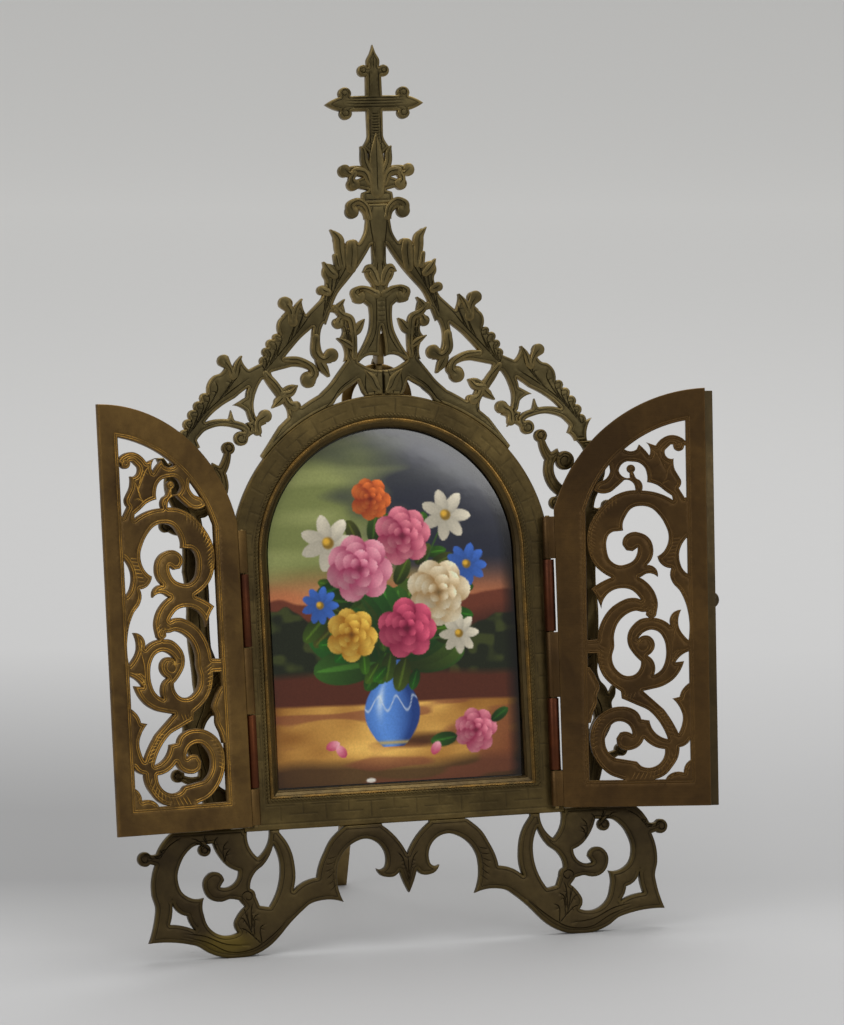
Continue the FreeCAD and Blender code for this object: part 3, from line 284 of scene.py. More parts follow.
class Outline:
    """Closed loops of a plate with the questions that the mesh makers ask of them."""

    def __init__(self, loops):
        self.loops = loops
        self.a = np.vstack(loops)
        self.b = np.vstack([np.roll(loop, -1, 0) for loop in loops])
        self.before = np.vstack([np.roll(loop, 1, 0) for loop in loops])
        self.following = np.concatenate([np.roll(np.arange(len(loop)), -1) + offset
                                         for loop, offset in zip(loops, self.offsets())])
        rise = self.b[:, 1] - self.a[:, 1]
        self.slope = (self.b[:, 0] - self.a[:, 0]) / np.where(rise == 0, 1, rise)
        self.tree = point_tree(self.a)

    def offsets(self):
        return np.cumsum([0] + [len(loop) for loop in self.loops])[:-1]

    def distance(self, points):
        """Distance from each point to the outline."""
        find = self.tree.find
        near = np.array([find((x, z, 0))[1] for x, z in points.tolist()], int)
        best = np.full(len(points), 1e9)
        for start, end in ((self.a[near], self.b[near]), (self.before[near], self.a[near])):
            run = end - start
            t = np.clip(((points - start) * run).sum(1) / (run * run).sum(1), 0, 1)[:, None]
            best = np.minimum(best, np.linalg.norm(points - start - run * t, axis=1))
        return best

    def inside(self, points):
        """Whether each point is in the metal."""
        found = np.zeros(len(points), bool)
        for first in range(0, len(points), 500):
            x = points[first:first + 500, :1]
            z = points[first:first + 500, 1:]
            spans = (self.a[None, :, 1] > z) != (self.b[None, :, 1] > z)
            across = self.a[None, :, 0] + (z - self.a[None, :, 1]) * self.slope
            found[first:first + 500] = (spans & (x < across)).sum(1) % 2 == 1
        return found

    def grid(self, spacing):
        """Points in the metal on a grid of staggered rows."""
        low, high = self.a.min(0), self.a.max(0)
        rows = []
        for index, z in enumerate(np.arange(low[1] + spacing / 2, high[1], spacing * 0.866)):
            spans = (self.a[:, 1] > z) != (self.b[:, 1] > z)
            across = np.sort(self.a[spans, 0] + (z - self.a[spans, 1]) * self.slope[spans])
            x = np.arange(low[0] + spacing * (index % 2) / 2, high[0], spacing)
            x = x[np.searchsorted(across, x) % 2 == 1]
            rows.append(np.column_stack([x, np.full(len(x), z)]))
        return np.vstack(rows)

    def rings(self, insets):
        """Points along the outline at each distance inside it."""
        unit = units(self.b - self.a)
        came = units(self.a - self.before)
        side = left_of(unit)
        came_side = left_of(came)
        turn = came[:, 0] * unit[:, 1] - came[:, 1] * unit[:, 0]
        middle = units(side + came_side)
        rings = []
        for inset in insets:
            ring = [self.a + middle * inset]
            if inset > 0.2:
                for index in np.nonzero(turn < -0.35)[0]:
                    count = math.ceil(inset * 2.2)
                    for share in np.arange(-count, count + 1) / (count + 1.0):
                        aim = middle[index] + share * (side[index] - came_side[index]) * 0.9
                        ring.append((self.a[index] + inset * aim / np.linalg.norm(aim))[None])
            ring = np.vstack(ring)
            rings.append(ring[self.distance(ring) > inset - 0.03])
        return np.vstack(rings)


class Chasing:
    """Engraved strokes on a plate: where they run, how wide they are and how deep."""

    def __init__(self):
        self.points = []
        self.half = []
        self.depth = []

    def line(self, points, half=0.16, depth=0.16, tapered=True, mirror=False):
        count = len(points)
        fade = np.ones(count)
        if tapered:
            along = np.linspace(0, 1, count)
            fade = np.clip(np.minimum(along, 1 - along) * 5 + 0.25, 0, 1)
        for sign in (1, -1) if mirror else (1,):
            self.points.append(points * (sign, 1))
            self.half.append(np.full(count, half))
            self.depth.append(depth * fade)
        return self

    def leaf(self, spine, tips, lag=1.5, **cut):
        """A midrib and a vein from it towards each tip, leaving it lower down."""
        rib = curve(spine)
        self.line(rib, **cut)
        for tip in np.asarray(tips, float):
            gap = np.hypot(*(rib - tip).T)
            near = int(gap.argmin())
            low = min(max(0, near - int(lag * gap[near] / 0.25)), len(rib) - 1)
            bend = rib[near] + 0.45 * (tip - rib[near])
            end = rib[low] + 0.86 * (tip - rib[low])
            self.line(curve([rib[low], (rib[low] + 2 * bend + end) / 4, end]), **cut)
            beside = rib[max(0, low - 7)]
            short = beside + 0.62 * (tip - beside)
            self.line(curve([beside, (beside + 2 * bend + short) / 4, short]), **cut)
        return self

    def curl(self, x, z, radius, start, sense=-1, **cut):
        """A spiral stroke in the eye of a volute, from its neck inwards."""
        share = np.linspace(0, 1, max(12, int(radius * 14)))
        turn = math.radians(start) + sense * share * 2.3 * math.pi
        out = radius * (0.8 - 0.55 * share)
        return self.line(np.column_stack([x + out * np.cos(turn), z + out * np.sin(turn)]), **cut)

    def hatch(self, path, count, half_length, slant=0.0, **cut):
        """Short strokes across a path."""
        line = curve(path, 0.1)
        for index in np.linspace(1, len(line) - 2, count).astype(int):
            ahead = line[index + 1] - line[index - 1]
            ahead /= np.hypot(*ahead)
            aside = np.array([-ahead[1], ahead[0]]) + slant * ahead
            ends = [line[index] - aside * half_length, line[index], line[index] + aside * half_length]
            self.line(straight(ends), **cut)
        return self

    def mesh_points(self):
        """Points that the mesh needs to carry the strokes: along each one's middle and both sides."""
        found = []
        for points, half in zip(self.points, self.half):
            run = np.gradient(points, axis=0)
            unit = run / np.maximum(np.linalg.norm(run, axis=1), 1e-9)[:, None]
            aside = left_of(unit) * half[:, None]
            found += [points, points + aside, points - aside]
        return np.vstack(found)

    def groove(self, points):
        """How deep the strokes cut each point, and how much of it is cut, from 0 to 1."""
        half = np.concatenate(self.half)
        depth = np.concatenate(self.depth)
        tree = point_tree(np.vstack(self.points))
        found = [tree.find((x, z, 0))[1:] for x, z in points.tolist()]
        near = np.array([index for index, gap in found], int)
        gap = np.array([gap for index, gap in found])
        share = np.clip(1 - gap / half[near], 0, 1)
        return share * depth[near], share * np.clip(depth[near] / 0.12, 0, 1)


def apart(points, others, gap):
    """Those of the points that keep a gap to all the others."""
    tree = point_tree(others)
    return points[[tree.find((x, z, 0))[2] > gap for x, z in points.tolist()]]


def spread(points, gap):
    """The points without those that nearly coincide."""
    keys = np.round(points / gap).astype(int)
    first = np.unique(keys, axis=0, return_index=True)[1]
    return points[np.sort(first)]


# Plates

def triangles(outline, inner):
    """Triangles over the metal of an outline, through the inner points."""
    points = np.vstack([outline.a, inner])
    ways = np.column_stack([np.arange(len(outline.a)), outline.following]).tolist()
    made = delaunay_2d_cdt([Vector(point) for point in points.tolist()], ways, [], 0, 1e-5)
    places = np.array([tuple(place) for place in made[0]])
    faces = np.array(made[2], int)
    origin = np.array([sources[0] if sources else -1 for sources in made[3]], int)
    a, b, c = (places[faces[:, side]] for side in range(3))
    area = (b[:, 0] - a[:, 0]) * (c[:, 1] - a[:, 1]) - (b[:, 1] - a[:, 1]) * (c[:, 0] - a[:, 0])
    faces[area < 0] = faces[area < 0][:, ::-1]
    faces = faces[abs(area) > 1e-9]
    edge = len(outline.a)
    source = origin[faces]
    known = (source >= edge).any(1)
    after = np.append(outline.following, -5)
    rim = np.where((source >= 0) & (source < edge), source, edge)
    ahead = np.zeros(len(faces), bool)
    behind = np.zeros(len(faces), bool)
    for one, two in ((0, 1), (1, 2), (2, 0)):
        ahead |= after[rim[:, one]] == rim[:, two]
        behind |= after[rim[:, two]] == rim[:, one]
    keep = known | (ahead & ~behind)
    unsure = ~known & ~(ahead ^ behind)
    middles = places[faces[unsure]].mean(1)
    keep[unsure] = outline.inside(middles)
    return places, faces[keep]


def cap_edges(faces):
    """Directed edges round a set of triangles."""
    ways = edges_of(faces)
    size = ways.max() + 1
    forward = ways[:, 0] * size + ways[:, 1]
    return ways[~np.isin(forward, ways[:, 1] * size + ways[:, 0])]


def weld(points, faces, values, matrix):
    """Merge points that coincide and return places in the row frame with the faces and values."""
    _, first, merged = np.unique(np.round(points, 3), axis=0, return_index=True, return_inverse=True)
    faces = real_faces(merged.ravel()[faces])
    whole = np.array(matrix)
    placed = points[first] @ whole[:3, :3].T + whole[:3, 3]
    return placed, faces, {name: value[first] for name, value in values.items()}


def scene_object(name, data):
    """An object for a mesh, light or camera, in the scene."""
    made = bpy.data.objects.new(name, data)
    bpy.context.scene.collection.objects.link(made)
    return made


def mesh_object(name, points, faces, values=None, angle=40.0):
    """A smooth-shaded object from points in the row frame, with float or colour attributes."""
    mesh = bpy.data.meshes.new(name)
    mesh.from_pydata(points.tolist(), [], faces.tolist())
    for key, value in (values or {}).items():
        kind = "FLOAT" if value.ndim == 1 else "FLOAT_COLOR"
        attribute = mesh.attributes.new(key, kind, "POINT")
        if value.ndim > 1:
            value = np.column_stack([value, np.ones(len(value))])
        attribute.data.foreach_set("value" if kind == "FLOAT" else "color", value.astype(np.float32).ravel())
    mesh.update()
    mesh.shade_smooth()
    mesh.set_sharp_from_angle(angle=math.radians(angle))
    return scene_object(name, mesh)


def round_over(distance, radius):
    """Depth of a rounded edge at each distance from the outline."""
    short = np.clip(radius - distance, 0, radius)
    return radius - np.sqrt(np.maximum(radius * radius - short * short, 0))


def cut_at(distance, where, half, depth):
    """Depth and share of a line engraved along the outline at a distance inside it."""
    share = np.clip(1 - abs(distance - where) / half, 0, 1)
    return share * depth, share


def plate_mesh(outline, matrix, faces_y, radius, lines=(), chasing=None, swell=0.0, spacing=0.8,
               both=False, where_lines=None, worn=None, is_bent=False, floor=None):
    """A cast plate with rounded edges, lines along its outline and engraved strokes.

    faces_y gives the Y of its front and back, and lines the (inset, half width, depth) of each line."""
    insets = [0.15 * radius, 0.4 * radius, 0.7 * radius, radius]
    for inset, half, depth in lines:
        insets += [inset - half, inset, inset + half]
    inner = outline.rings(insets)
    if chasing:
        strokes = spread(chasing.mesh_points(), 0.06)
        strokes = strokes[outline.inside(strokes)]
        strokes = strokes[outline.distance(strokes) > 0.12]
        inner = np.vstack([strokes, apart(inner, strokes, 0.09)])
    grid = outline.grid(spacing)
    grid = grid[outline.distance(grid) > max(insets) + 0.35 * spacing]
    inner = np.vstack([inner, apart(grid, inner, 0.4 * spacing)])
    inner = spread(inner, 0.05)

    def relief(places):
        gap = outline.distance(places)
        gap[gap < 1e-3] = 0.0
        depth = round_over(gap, radius) - swell * np.clip(gap / 2.2, 0, 1) ** 0.6
        cut = np.zeros(len(places))
        for inset, half, deep in lines:
            one, share = cut_at(gap, inset, half, deep)
            if where_lines:
                allowed = where_lines(places)
                one, share = one * allowed, share * allowed
            depth += one
            cut = np.maximum(cut, share)
        if chasing:
            one, share = chasing.groove(places)
            one = one * np.clip(gap / 0.3, 0, 1)
            depth += one
            cut = np.maximum(cut, share * np.clip(gap / 0.3, 0, 1))
        return depth, cut, gap

    front, back = faces_y
    places, faces = triangles(outline, inner)
    depth, cut, gap = relief(places)
    forward = bent(places[:, 1]) if is_bent else 0.0
    front_points = np.column_stack([places[:, 0], front + forward + depth, places[:, 1]])
    rim = cap_edges(faces)
    if both:
        back_places, back_faces = places, faces
        back_depth, back_cut, back_gap = depth, cut, gap
    else:
        back_places, back_faces = triangles(outline, outline.rings([BACK_EDGE]))
        back_gap = outline.distance(back_places)
        back_gap[back_gap < 1e-3] = 0.0
        back_depth = round_over(back_gap, BACK_EDGE) * 0.8
        back_cut = np.zeros(len(back_places))
    back_forward = bent(back_places[:, 1]) if is_bent else 0.0
    back_points = np.column_stack([back_places[:, 0], back + back_forward - back_depth, back_places[:, 1]])
    edge_places = places[rim]
    edge_depth = radius if both else 0.24
    wall_y = back + (bent(edge_places[:, :, 1]) if is_bent else 0.0) - edge_depth
    wall_y = np.broadcast_to(wall_y, edge_places.shape[:2])
    wall = np.stack([edge_places[:, :, 0], wall_y, edge_places[:, :, 1]], 2).reshape(-1, 3)
    count = len(front_points)
    lower = len(front_points) + len(back_points)
    index = np.arange(len(rim)) * 2 + lower
    walls = np.vstack([np.column_stack([rim[:, 1], rim[:, 0], index]),
                       np.column_stack([rim[:, 1], index, index + 1])])
    points = np.vstack([front_points, back_points, wall])
    everything = np.vstack([faces, back_faces[:, ::-1] + count, walls])
    flat = np.concatenate([gap, back_gap, np.zeros(len(wall))])
    values = {
        "cut": np.concatenate([cut, back_cut, np.zeros(len(wall))]),
        "rim": np.exp(-flat / 0.45),
    }
    if worn:
        values["worn"] = worn(points)
    points, everything, values = weld(points, everything, values, matrix)
    if floor is not None:
        points[:, 2] = np.maximum(points[:, 2], floor)
    return points, everything, values


def chased_plate(name, *plate, **work):
    return mesh_object(name, *plate_mesh(*plate, **work))


def proud_leaves(name, spines):
    """Straps, leaves and volutes on both halves of the plate, a little proud of it, as one mesh."""
    points, faces, values = [], [], {"cut": [], "rim": []}
    count = 0
    for index, spine in enumerate(spines):
        for side in (1, -1) if any(x for x, z, half in spine) else (1,):
            one = np.array(spine) * (side, 1, 1)
            vein = Chasing().line(curve(one[:, :2]), 0.17, 0.2)
            front = -0.3 - 0.04 * (index % 4)
            places, sides, tones = plate_mesh(Outline([ribbon(one)]), PLATE, (front, CASTING - 0.3), 0.38,
                                              chasing=vein, swell=0.22, spacing=spacing(), is_bent=True)
            points.append(places)
            faces.append(sides + count)
            count += len(places)
            for key in values:
                values[key].append(tones[key])
    values = {key: np.concatenate(tones) for key, tones in values.items()}
    return mesh_object(name, np.vstack(points), np.vstack(faces), values)


def plate_outline(node, matrix, step=0.3):
    return Outline([rounded_loop(loop, step) for loop in plate_loops(node, matrix)])


# Chasing of each casting

GABLE_LEAVES = (
    (((18.2, 173.6), (14.6, 181.4), (10.9, 187.8), (7.4, 193.6)),
     ((8.9, 196.5), (13.5, 199.4), (13.7, 191.4), (16.5, 189.7), (17.5, 185.4), (18.6, 182.4))),
    (((37.0, 157.8), (30.4, 165.0), (25.6, 170.2), (21.8, 174.9)),
     ((24.4, 178.8), (27.6, 176.3), (31.8, 170.6), (33.5, 167.8), (35.4, 165.4), (36.7, 162.9),
      (37.8, 160.4))),
    (((61.9, 138.8), (55.4, 146.4), (49.0, 151.5), (42.0, 156.2)),
     ((43.7, 162.4), (46.8, 159.1), (51.6, 157.2), (54.2, 153.4), (56.3, 150.7), (58.3, 148.3), (60.2, 145.6),
      (61.7, 142.5), (63.0, 139.4))),
)
# Straps and leaves that stand proud of the castings, each as its middle line of (x, z, half width).
PROUD_GABLE = (
    ((2.6, 203.0, 0.9), (3.6, 206.4, 0.95), (6.0, 208.1, 0.95), (8.4, 207.0, 1.3), (8.0, 205.1, 1.95)),
    ((0.9, 183.5, 1.1), (2.0, 186.4, 1.5), (3.3, 187.9, 1.3), (5.0, 186.9, 0.3)),
    ((1.2, 180.0, 1.3), (3.6, 181.4, 1.0), (6.2, 181.9, 0.9), (8.0, 180.9, 1.3), (7.0, 179.6, 2.2)),
    ((8.9, 161.4, 0.9), (8.7, 165.5, 0.9), (9.0, 169.4, 1.1), (9.7, 172.8, 1.2), (12.2, 174.2, 1.1),
     (14.6, 176.6, 0.8)),
    ((10.6, 173.6, 1.0), (12.6, 173.2, 0.9), (13.4, 171.6, 1.6)),
    ((9.2, 168.2, 0.9), (7.7, 169.6, 1.4), (6.4, 171.4, 1.0), (5.4, 172.6, 0.25)),
    ((9.2, 164.2, 0.8), (11.0, 165.6, 1.1), (13.8, 167.2, 0.25)),
    ((14.2, 175.6, 0.8), (12.9, 177.0, 0.9), (11.4, 178.7, 0.25)),
    ((11.6, 188.6, 1.0), (12.3, 193.8, 1.5), (12.6, 197.0, 1.5), (14.9, 199.7, 0.2)),
    ((9.0, 188.0, 1.6), (8.6, 192.4, 1.9), (8.7, 195.0, 1.6)),
    ((14.2, 186.0, 1.2), (15.8, 187.6, 1.4), (17.4, 190.0, 0.3)),
    ((13.0, 188.4, 1.0), (13.6, 191.9, 0.8)),
    ((16.4, 181.0, 1.2), (18.1, 181.8, 1.45)),
    ((27.6, 172.6, 1.6), (28.3, 176.0, 1.2), (29.8, 178.3, 1.95)),
    ((27.4, 173.6, 1.2), (26.2, 176.8, 0.9), (24.6, 179.2, 0.3)),
    ((20.6, 167.5, 1.3), (20.8, 163.2, 1.3), (18.6, 161.0, 1.2), (16.0, 162.2, 2.2)),
    ((19.6, 160.4, 1.2), (18.4, 158.4, 1.4), (17.0, 156.2, 0.5)),
    ((30.5, 161.4, 0.9), (26.4, 161.2, 1.0), (22.6, 159.2, 1.1), (21.6, 156.8, 1.2), (23.2, 155.0, 2.3)),
    ((36.6, 157.4, 1.0), (33.6, 154.2, 1.0), (31.4, 150.8, 1.0)),
    ((31.6, 151.0, 1.0), (28.9, 151.4, 1.1), (27.0, 153.4, 0.4)),
    ((30.8, 151.0, 0.9), (32.4, 149.2, 1.3), (34.6, 147.3, 0.3)),
    ((31.0, 150.6, 1.0), (29.8, 148.4, 1.0), (28.1, 147.3, 1.6)),
    ((46.6, 157.0, 1.2), (47.6, 159.6, 1.0), (49.2, 161.7, 1.9)),
    ((46.0, 157.4, 1.1), (45.2, 160.4, 0.9), (43.8, 162.8, 0.3)),
    ((39.6, 140.2, 1.2), (39.4, 143.2, 1.0), (37.0, 144.8, 1.9)),
    ((1.3, 151.0, 0.9), (2.6, 152.6, 1.5), (3.6, 154.8, 1.5), (5.8, 157.4, 0.3)),
)
PROUD_CROSS = (
    ((0, 210.9, 2.2), (0, 216.0, 2.6), (0, 222.0, 2.0), (0, 228.0, 0.3)),
    ((2.2, 216.4, 1.3), (3.6, 219.6, 1.2), (3.9, 222.6, 1.0), (4.6, 224.2, 0.3)),
    ((2.4, 213.2, 0.8), (3.8, 216.4, 1.3), (6.6, 217.0, 1.1), (8.2, 216.2, 1.0), (9.9, 217.3, 1.8)),
    ((7.0, 216.4, 1.0), (7.9, 214.6, 1.0), (7.1, 213.1, 1.75)),
)
# Volutes as (x, z, radius, where the neck joins in degrees, sense of the turn).
GABLE_VOLUTES = ((6.4, 179.7, 2.3, 120, -1), (8.0, 205.1, 2.1, 120, -1), (13.7, 171.9, 1.5, 135, -1),
                 (29.2, 178.2, 1.9, 220, -1), (16.0, 162.1, 2.0, -60, -1), (23.1, 155.4, 2.4, 150, 1),
                 (49.0, 161.6, 1.7, 220, -1), (37.0, 144.8, 2.0, 0, 1), (27.4, 147.4, 1.6, -60, 1),
                 (44.8, 138.4, 2.2, 150, 1))
CROSS_VOLUTES = ((3.1, 247.2, 1.8, 180, -1), (9.1, 240.4, 2.0, 250, -1), (9.0, 234.6, 1.95, 110, -1),
                 (10.0, 217.3, 1.9, 210, -1), (7.5, 213.2, 1.9, 120, -1))
FOOT_VOLUTES = ((80.6, 15.0, 2.2, 200, -1), (62.4, 16.6, 1.9, 150, -1), (50.0, 2.0, 2.6, -60, 1))
SIDE_VOLUTES = ((56.2, 127.8, 2.9, 20, -1), (48.9, 135.6, 2.0, 0, 1), (52.6, 115.0, 2.0, 30, 1),
                (70.6, 135.0, 1.8, 200, -1), (69.2, 113.3, 2.0, 160, 1), (69.3, 39.0, 2.0, 160, 1))
DOOR_VOLUTES = ((26.4, 71.4, 2.9, 120, -1), (23.9, 125.0, 1.3, 90, -1), (38.6, 131.9, 1.7, 200, 1))
# Hatching on a door's scrolls: path, number of strokes, half their length, slant.
DOOR_HATCHES = (
    (((11.4, 104.6), (12.2, 108.8), (15.2, 113.0), (19.2, 116.0)), 12, 1.3, 0.6),
    (((37.2, 89.2), (38.8, 86.4), (40.0, 82.6)), 8, 1.1, 0.7),
    (((35.4, 97.0), (36.6, 101.0), (37.6, 104.0)), 7, 0.9, -0.5),
    (((26.6, 83.4), (29.4, 81.6), (30.4, 83.6)), 6, 1.0, 0.4),
    (((14.4, 64.4), (13.9, 68.2), (14.2, 71.6)), 7, 0.9, 0.5),
    (((23.0, 32.0), (28.0, 32.2), (32.6, 34.2), (35.6, 38.0)), 12, 1.1, 0.6),
    (((11.6, 41.0), (11.8, 45.4), (14.0, 49.4)), 8, 0.9, -0.5),
    (((10.8, 94.0), (11.2, 99.0), (12.0, 103.4)), 12, 0.9, 0.6),
    (((35.0, 44.0), (34.0, 48.6), (31.0, 52.0)), 9, 0.9, 0.5),
    (((15.0, 58.6), (19.4, 56.4), (24.0, 56.6)), 10, 0.8, 0.5),
)


def gable_chasing():
    work = Chasing()
    cut = {"half": 0.2, "depth": 0.26, "mirror": True}
    for spine, tips in GABLE_LEAVES:
        work.leaf(spine, tips, **cut)
    work.leaf(((0.7, 181.6), (0.9, 184.5), (0.8, 190.0)), ((4.4, 187.2), (2.6, 188.4)), **cut)
    work.line(curve([(1.5, 191.0), (1.9, 196.0), (2.6, 202.0), (1.6, 206.4)]), **cut)
    work.line(curve([(1.6, 180.8), (1.5, 174.5), (2.2, 168.0), (5.2, 162.4)]), **cut)
    work.hatch(((0, 172.0), (0, 179.5)), 6, 1.0, half=0.16, depth=0.14)
    work.line(straight([(0, 146.6), (0, 157.0)]), half=0.5, depth=0.9)
    work.line(curve([(1.9, 146.6), (3.0, 151.6), (1.5, 157.2)]), **cut)
    work.line(curve([(3.6, 147.6), (5.7, 152.2), (5.2, 157.6)]), **cut)
    work.line(curve([(8.0, 156.0), (13.4, 152.4), (18.0, 147.0), (27.0, 141.8), (34.0, 134.0)]), **cut)
    work.leaf(((9.9, 161.4), (10.9, 166.4), (9.8, 170.2)),
              ((7.2, 171.0), (11.8, 176.6), (12.4, 172.0)), **cut)
    work.leaf(((39.4, 139.9), (40.2, 142.6), (41.0, 146.0)), ((42.2, 142.6), (38.6, 141.0)), **cut)
    work.leaf(((31.4, 150.2), (30.4, 147.0), (29.0, 143.6)), ((27.6, 153.2), (33.6, 148.2)), lag=-1.0, **cut)
    for volute in GABLE_VOLUTES:
        work.curl(*volute, **cut)
    return work


def cross_chasing():
    work = Chasing()
    cut = {"half": 0.18, "depth": 0.2}
    for z in (236.2, 237.1, 238.0, 238.9):
        work.line(straight([(-8.6, z), (8.6, z)]), **cut)
    work.hatch(((0, 225.6), (0, 234.2)), 11, 1.2, **cut)
    for x in (-1.7, 1.7):
        work.line(straight([(x, 221.0), (x, 234.4)]), **cut)
        work.line(straight([(x * 0.8, 240.6), (x * 0.8, 247.0)]), **cut)
    work.line(straight([(0, 247.4), (0, 252.8)]), **cut)
    work.leaf(((0, 211.8), (0, 217.0), (0, 226.4)), ((-4.2, 223.8), (4.2, 223.8), (-2.6, 226), (2.6, 226),
                                                   (-1.9, 222), (1.9, 222)), **cut)
    work.line(curve([(1.6, 211.8), (2.8, 214.4), (6.0, 217.2), (9.0, 217.6)]), mirror=True, **cut)
    work.line(straight([(-4.0, 208.4), (4.0, 208.4)]), **cut)
    work.line(straight([(-4.2, 210.2), (4.2, 210.2)]), **cut)
    for volute in CROSS_VOLUTES:
        work.curl(*volute, mirror=True, **cut)
    return work


def foot_chasing():
    work = Chasing()
    cut = {"half": 0.2, "depth": 0.24, "mirror": True}
    work.leaf(((56.2, 10.6), (59.4, 15.0), (63.2, 20.6)),
              ((66.6, 19.0), (67.6, 21.2), (62.0, 21.6), (58.4, 21.4), (55.0, 20.4), (54.4, 17.6)), **cut)
    work.leaf(((46.4, -12.6), (49.6, -8.4), (50.6, -2.4)),
              ((48.4, 1.6), (52.2, 0.6), (53.6, -3.6), (54.0, -6.8), (46.4, -2.4), (44.8, -5.4)), **cut)
    work.line(curve([(36.6, -4.2), (43.0, -9.8), (49.4, -13.6), (56.4, -14.0), (63.4, -10.6), (70.4, -8.6)]),
              **cut)
    work.line(curve([(50.4, -12.4), (57.4, -11.6), (64.0, -8.8), (69.6, -7.8)]), **cut)
    work.leaf(((33.8, 4.6), (31.4, 8.6), (31.2, 14.0)), ((29.4, 8.0), (29.0, 11.4), (33.6, 9.4)), **cut)
    for side in (1, -1):
        work.hatch(((side * 23.4, 3.0), (side * 24.4, 8.0), (side * 23.6, 12.0)), 6, 1.3, slant=side * 0.5,
                   half=0.16, depth=0.16)
    work.leaf(((0, 1.6), (0, 5.0), (0, 11.0)), ((-2.4, 9.0), (2.4, 9.0), (-3.6, 13.4), (3.6, 13.4)),
              half=0.2, depth=0.24)
    work.leaf(((76.6, 14.4), (73.4, 18.4), (69.6, 20.8)), ((78.8, 15.8), (76.6, 17.4)), lag=-1.0, **cut)
    for volute in FOOT_VOLUTES:
        work.curl(*volute, **cut)
    return work


def side_chasing(side):
    work = Chasing()
    cut = {"half": 0.22, "depth": 0.24}
    rib = curve([(62.4, 133.0), (65.0, 127.4), (64.8, 122.0), (61.8, 116.4), (60.8, 108.0), (60.9, 96.0),
                 (60.4, 80.0), (59.2, 68.0), (60.6, 59.0), (63.4, 52.0), (62.6, 46.0), (60.4, 38.0),
                 (58.6, 29.0)])
    work.line(rib * (side, 1), **cut)
    for z in (72.0, 69.4, 66.8, 64.2):
        work.line(curve([(side * 56.0, z + 1.6), (side * 58.6, z), (side * 61.6, z + 1.6)]), **cut)
    for x, z, radius, start, sense in SIDE_VOLUTES:
        work.curl(side * x, z, radius, start if side > 0 else 180 - start, side * sense, **cut)
    return work


def fret(work, place, length, **cut):
    """Interlocking T shapes along a band, whose place(along, across) gives a spot on the plate."""
    count = 2 * round(length / bpy.context.scene.altar_ornament.key_pitch * MM)
    step = length / count
    for index in range(count):
        middle = (index + 0.5) * step
        bar, tip = ((1.6, 6.1), (4.3, 1.1))[index % 2]
        work.line(place(middle + np.linspace(-0.62, 0.62, 25) * step, np.full(25, bar)), **cut)
        work.line(place(np.full(15, middle), np.linspace(bar, tip, 15)), **cut)


def frame_chasing():
    """Fine lines along both edges of the border, and the fret between them."""
    work = Chasing()
    cut = {"half": 0.22, "depth": 0.075, "tapered": False}
    half, low, spring = ROPE_HALF, ROPE_SILL, ARCH_CENTRE - 1.3
    for across in (0.9, 6.9):
        turn = np.linspace(0, math.pi, 400)
        out = half + across
        arc = np.column_stack([out * np.cos(turn), spring + out * np.sin(turn)])
        up = straight([(out, low - 1), (out, spring)])
        down = straight([(-out, spring), (-out, low - 1)])
        work.line(np.vstack([up, arc, down]), **cut)
        work.line(straight([(-half - across, low - across), (half + across, low - across)]), **cut)
    cut.update(half=0.28, depth=0.07)
    middle = half + 3.7

    def on_sill(along, across):
        return np.column_stack([along - half, low - across])

    def on_column(along, across):
        return np.column_stack([half + across, low + 2 + along])

    def on_arch(along, across):
        out, turn = half + across, along / middle
        return np.column_stack([out * np.cos(turn), spring + out * np.sin(turn)])

    fret(work, on_sill, 2 * half, **cut)
    fret(work, on_column, spring - low - 2, mirror=True, **cut)
    fret(work, on_arch, math.pi * middle, **cut)
    return work


def opening_path(out):
    """The door's opening line, drawn a distance outside it, mitred at its corners."""
    left, right, low = HINGE_STILE - out, FREE_STILE + out, RAIL_TOP - out
    r = PICTURE_HALF + out
    start = math.acos((right - DOOR_WIDTH) / r)
    end = math.acos((left - DOOR_WIDTH) / r)
    turn = np.linspace(start, end, 12)
    arc = np.column_stack([DOOR_WIDTH + r * np.cos(turn), ARCH_CENTRE + r * np.sin(turn)])
    return np.vstack([straight([arc[-1], (left, low), (right, low), arc[0]]), curve(arc)[1:]])


def door_chasing(side):
    """Strokes on a door, drawn as (distance from the hinge axis, height)."""
    work = Chasing()
    cut = {"half": 0.16, "depth": 0.12}
    frame_line = {"half": 0.15, "depth": 0.12, "tapered": False}
    work.line(opening_path(0.55), **frame_line)
    work.line(opening_path(1.15), **frame_line)
    for path, count, half_length, slant in DOOR_HATCHES:
        work.hatch(path, count, half_length, slant, **cut)
    work.leaf(((33.0, 120.0), (34.8, 123.4), (33.0, 130.4)),
              ((30.0, 131.6), (36.8, 127.0), (36.0, 121.4)), **cut)
    work.leaf(((37.2, 78.6), (35.8, 72.6), (35.6, 66.8)),
              ((38.0, 80.8), (39.4, 70.6), (38.4, 66.8)), lag=-1.0, **cut)
    work.leaf(((38.8, 34.4), (37.0, 33.0), (34.0, 31.4)), ((40.8, 36.2), (40.6, 33.0)), lag=-1.0, **cut)
    for volute in DOOR_VOLUTES:
        work.curl(*volute, **cut)
    work.points = [np.column_stack([side * (HINGE_X - points[:, 0]), points[:, 1]]) for points in work.points]
    return work


def in_opening(side):
    """A test of which points lie in the door's opening, where its scrolls are."""
    def test(places):
        u = HINGE_X - side * places[:, 0]
        z = places[:, 1]
        arch = np.hypot(u - DOOR_WIDTH, z - ARCH_CENTRE) - PICTURE_HALF
        above = np.where(z > ARCH_CENTRE, arch, -9)
        out = np.maximum.reduce([HINGE_STILE - u, u - FREE_STILE, RAIL_TOP - z, above])
        return np.clip(-out / 0.4, 0, 1)
    return test


